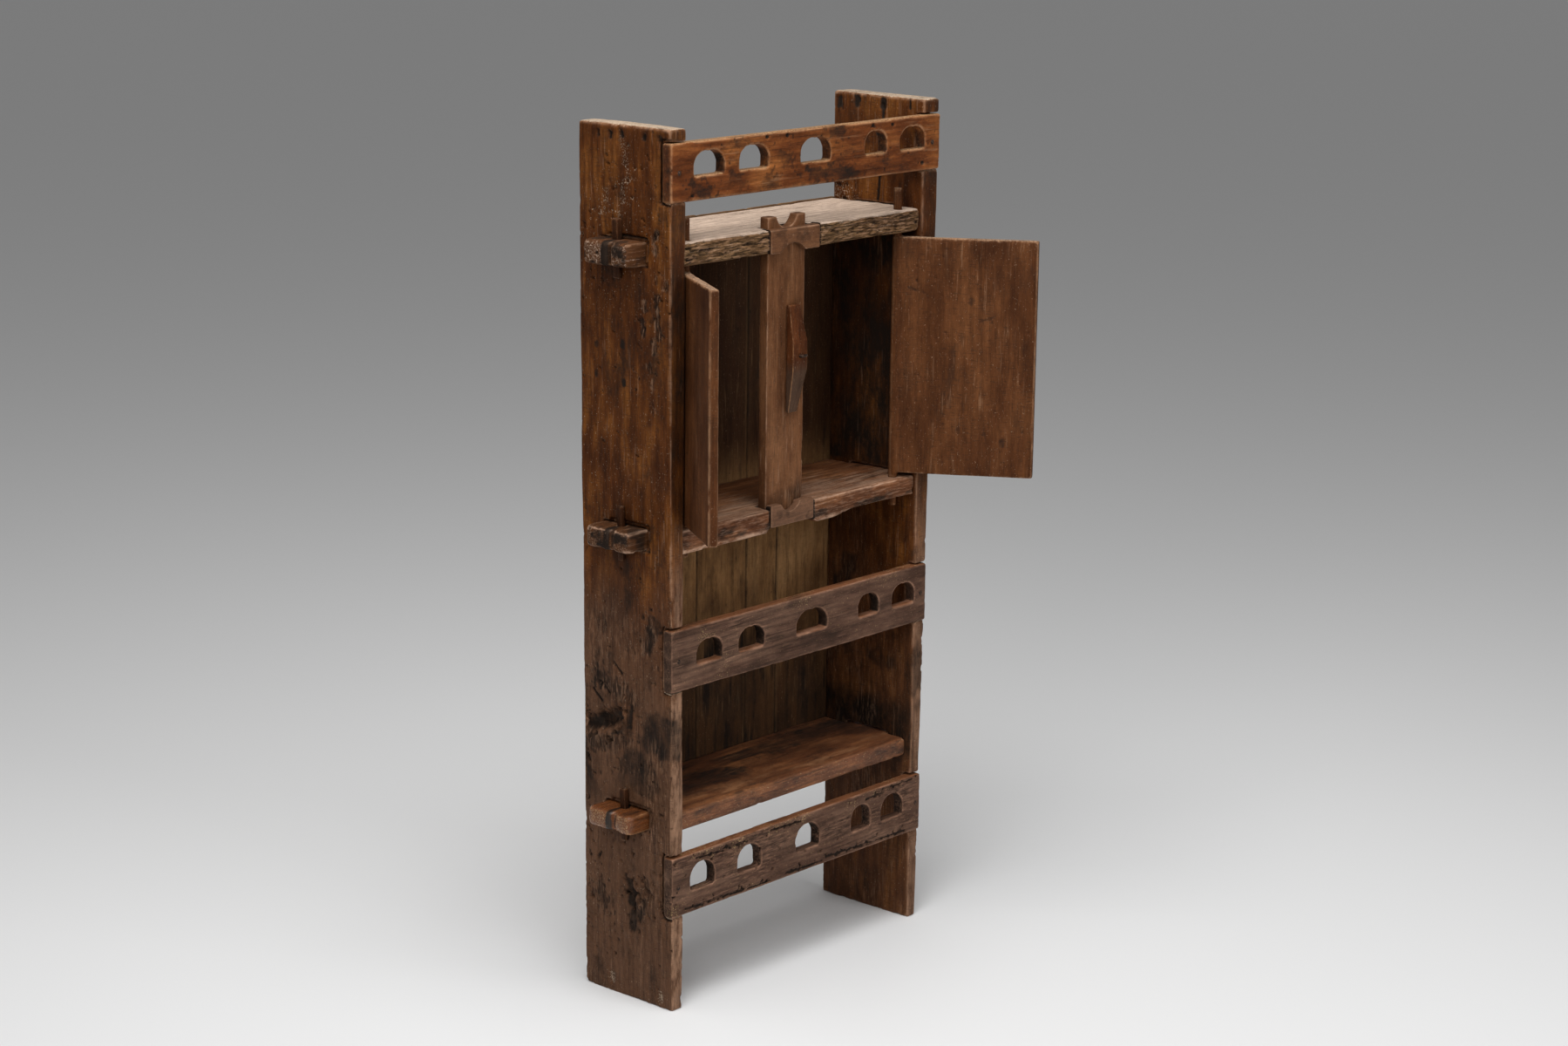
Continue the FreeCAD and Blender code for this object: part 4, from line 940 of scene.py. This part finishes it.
def closeSeams(plank, low, high, seam):
    edge = plank.faces(squarely, "left", "right") * ease(*backPlanks["edge"], seam)
    swell = backPlanks["swell"] * mm
    leftHalf = plank.places[:, 0] < (low.x + high.x) / 2
    closed = np.where(leftHalf, low.x - swell, high.x + swell)
    plank.places[:, 0] += (closed - plank.places[:, 0]) * edge
    plank.push *= 1 - edge


def agePlank(plank, spec, seam):
    height, inside = plank.places[:, 2], plank.faces(spec["inside"], "front")
    streaks = cloud(plank.board, spec["streakSize"], 77)
    drips = cloud(plank.board, spec["dripSize"], 83)

    def lowDown(part):
        return part["share"] * inside * ease(*part["heights"], height + part["drift"] * streaks)

    plank.paint("soot", spec["seamSoot"] * ease(*spec["seam"], seam))
    # painted shade on the inner face in the cupboard; lower down the stain and soot are partly painted shade
    plank.paint("stain", inside * ease(*spec["cupboardBackShade"], height))
    plank.paint("stain", lowDown(spec["lowStainAndShade"]))
    plank.paint("soot", lowDown(spec["lowSootAndShade"]))
    plank.paint("soot", lowDown(spec["lowDrips"]) * ease(0.05, 0.45, drips))
    plank.paint("soot", spec["faintDrips"] * inside * ease(0.25, 0.7, drips))


backWood = oldWood("back_plank_wood", backPlanks["look"])
for number in range(1, 6):
    node = f"back_plank_{number}"
    plank = hew(node, backPlanks, 50 + number)
    low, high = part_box(node)
    seam = np.minimum(plank.places[:, 0] - low.x, high.x - plank.places[:, 0])
    closeSeams(plank, low, high, seam)
    agePlank(plank, backPlanks, seam)
    plank.settle(backWood, "case", "back_wood")
print("back planks hewn")

# wedges: small dark split pegs
wedgePegs = dict(
    smallPiece, voxel=1.4, chip=1.0,
    look=dict(
        plainTimber, deep=(0.02, 0.0068, 0.0028), mid=(0.048, 0.017, 0.0066), bright=(0.088, 0.034, 0.0135),
        stain=(0.1, 0.06, 0.04), pale=(0.26, 0.18, 0.12), worn=(0.2, 0.095, 0.045),
        pith=(0.01, -0.02), ringGap=0.004, endDry=0.3, checks=0.5, worms=0.2, wear=0.4,
    ),
)
wedgeWood = oldWood("wedge_wood", wedgePegs["look"])
for seed, node in enumerate(sorted(name for name in frame["nodes"] if name.endswith("_wedge")), 61):
    hew(node, wedgePegs, seed).settle(wedgeWood, "case", "wedge_wood")
print("wedges hewn")

# ironwork: forged nails, brown with rust
ironwork = dict(
    dark=(0.022, 0.017, 0.014), rust=(0.085, 0.036, 0.017), scale=(420, 420, 4, 0.65),
    rusted=(0.45, 0.62), rough=0.55, rustRough=0.3, metal=0.9, rustMetal=0.8, relief=0.3,
)


def forgedIron(spec):
    material, wire, shader = newMaterial("forged_iron")
    place = wire.node("ShaderNodeTexCoord", None, None, "Object")
    scale = place.noise(*spec["scale"])
    rust = scale.band(*spec["rusted"])
    stops = [(0.0, spec["dark"]), (1.0, spec["rust"])]
    colour = wire.node("ShaderNodeValToRGB", {"stops": stops}, {0: rust})
    bump = {"Strength": 0.6, "Distance": spec["relief"] * mm, "Height": scale}
    normal = wire.node("ShaderNodeBump", None, bump)
    rough, metal = spec["rough"] + rust * spec["rustRough"], spec["metal"] - rust * spec["rustMetal"]
    wire.feed(shader, {"Base Color": colour, "Roughness": rough, "Metallic": metal, "Normal": normal})
    return material


iron = forgedIron(ironwork)
for node in ("rail_nails", "back_nails", "turn_button_nail"):
    mesh = frame["nodes"][node].data
    mesh.materials.clear()
    mesh.materials.append(iron)
print("ironwork coloured")

# studio: pale floor, soft light from above and from the left, camera where the photograph was taken
studio = dict(
    floorSize=120.0, floorColour=(0.8, 0.8, 0.8), floorRough=0.7,
    skyColour=(0.88, 0.88, 0.88), skyStrength=0.27,
    lamps=dict(
        overheadSoftbox=dict(place=(-0.9, -0.7, 3.7), aim=(0, 0, 0.6), size=2.2, power=110),
        leftSoftbox=dict(place=(-3.4, -1.8, 2.6), aim=(0, 0, 0.8), size=1.6, power=40),
        frontFill=dict(place=(0.4, -4.2, 2.0), aim=(0, 0, 0.8), size=2.4, power=50),
    ),
    eye=(-3.6548, -3.3196, 1.9167), yaw=48.2, pitch=13.51, roll=0.67,
    focalPixels=3588.8, imageWidth=1799, sensor=36.0,
)


def addFloor(spec):
    half = spec["floorSize"] / 2
    mesh = bpy.data.meshes.new("studio_floor")
    corners = [(-half, -half, 0), (half, -half, 0), (half, half, 0), (-half, half, 0)]
    mesh.from_pydata(corners, [], [(0, 1, 2, 3)])
    floor = bpy.data.objects.new("studio_floor", mesh)
    scene.collection.objects.link(floor)
    material, _, shader = newMaterial("studio_floor_paint")
    shader.inputs["Base Color"].default_value = rgba(spec["floorColour"])
    shader.inputs["Roughness"].default_value = spec["floorRough"]
    mesh.materials.append(material)


def addLamp(name, spec):
    lamp = bpy.data.lights.new(name, "AREA")
    lamp.size, lamp.energy = spec["size"], spec["power"]
    holder = bpy.data.objects.new(name, lamp)
    holder.location = spec["place"]
    beam = Vector(spec["aim"]) - Vector(spec["place"])
    holder.rotation_euler = beam.to_track_quat("-Z", "Y").to_euler()
    scene.collection.objects.link(holder)


def addSky(spec):
    sky = bpy.data.worlds.new("studio_sky")
    scene.world = sky
    sky.use_nodes = True
    backdrop = sky.node_tree.nodes["Background"]
    backdrop.inputs["Color"].default_value = rgba(spec["skyColour"])
    backdrop.inputs["Strength"].default_value = spec["skyStrength"]


def addCamera(spec):
    yaw, pitch, roll = (math.radians(spec[key]) for key in ("yaw", "pitch", "roll"))
    ahead = Vector((math.sin(yaw) * math.cos(pitch), math.cos(yaw) * math.cos(pitch), -math.sin(pitch)))
    level = Vector((math.cos(yaw), -math.sin(yaw), 0))
    upright = level.cross(ahead)
    right = math.cos(roll) * level + math.sin(roll) * upright
    up = math.cos(roll) * upright - math.sin(roll) * level
    data = bpy.data.cameras.new("photo_camera")
    data.sensor_fit, data.sensor_width = "HORIZONTAL", spec["sensor"]
    data.lens = spec["focalPixels"] / spec["imageWidth"] * spec["sensor"]
    holder = bpy.data.objects.new("photo_camera", data)
    turn = Matrix((right, up, -ahead)).transposed().to_4x4()
    holder.matrix_world = Matrix.Translation(spec["eye"]) @ turn
    scene.collection.objects.link(holder)
    scene.camera = holder


addFloor(studio)
for lampName, lampSpec in studio["lamps"].items():
    addLamp(lampName, lampSpec)
addSky(studio)
addCamera(studio)
print("studio set")
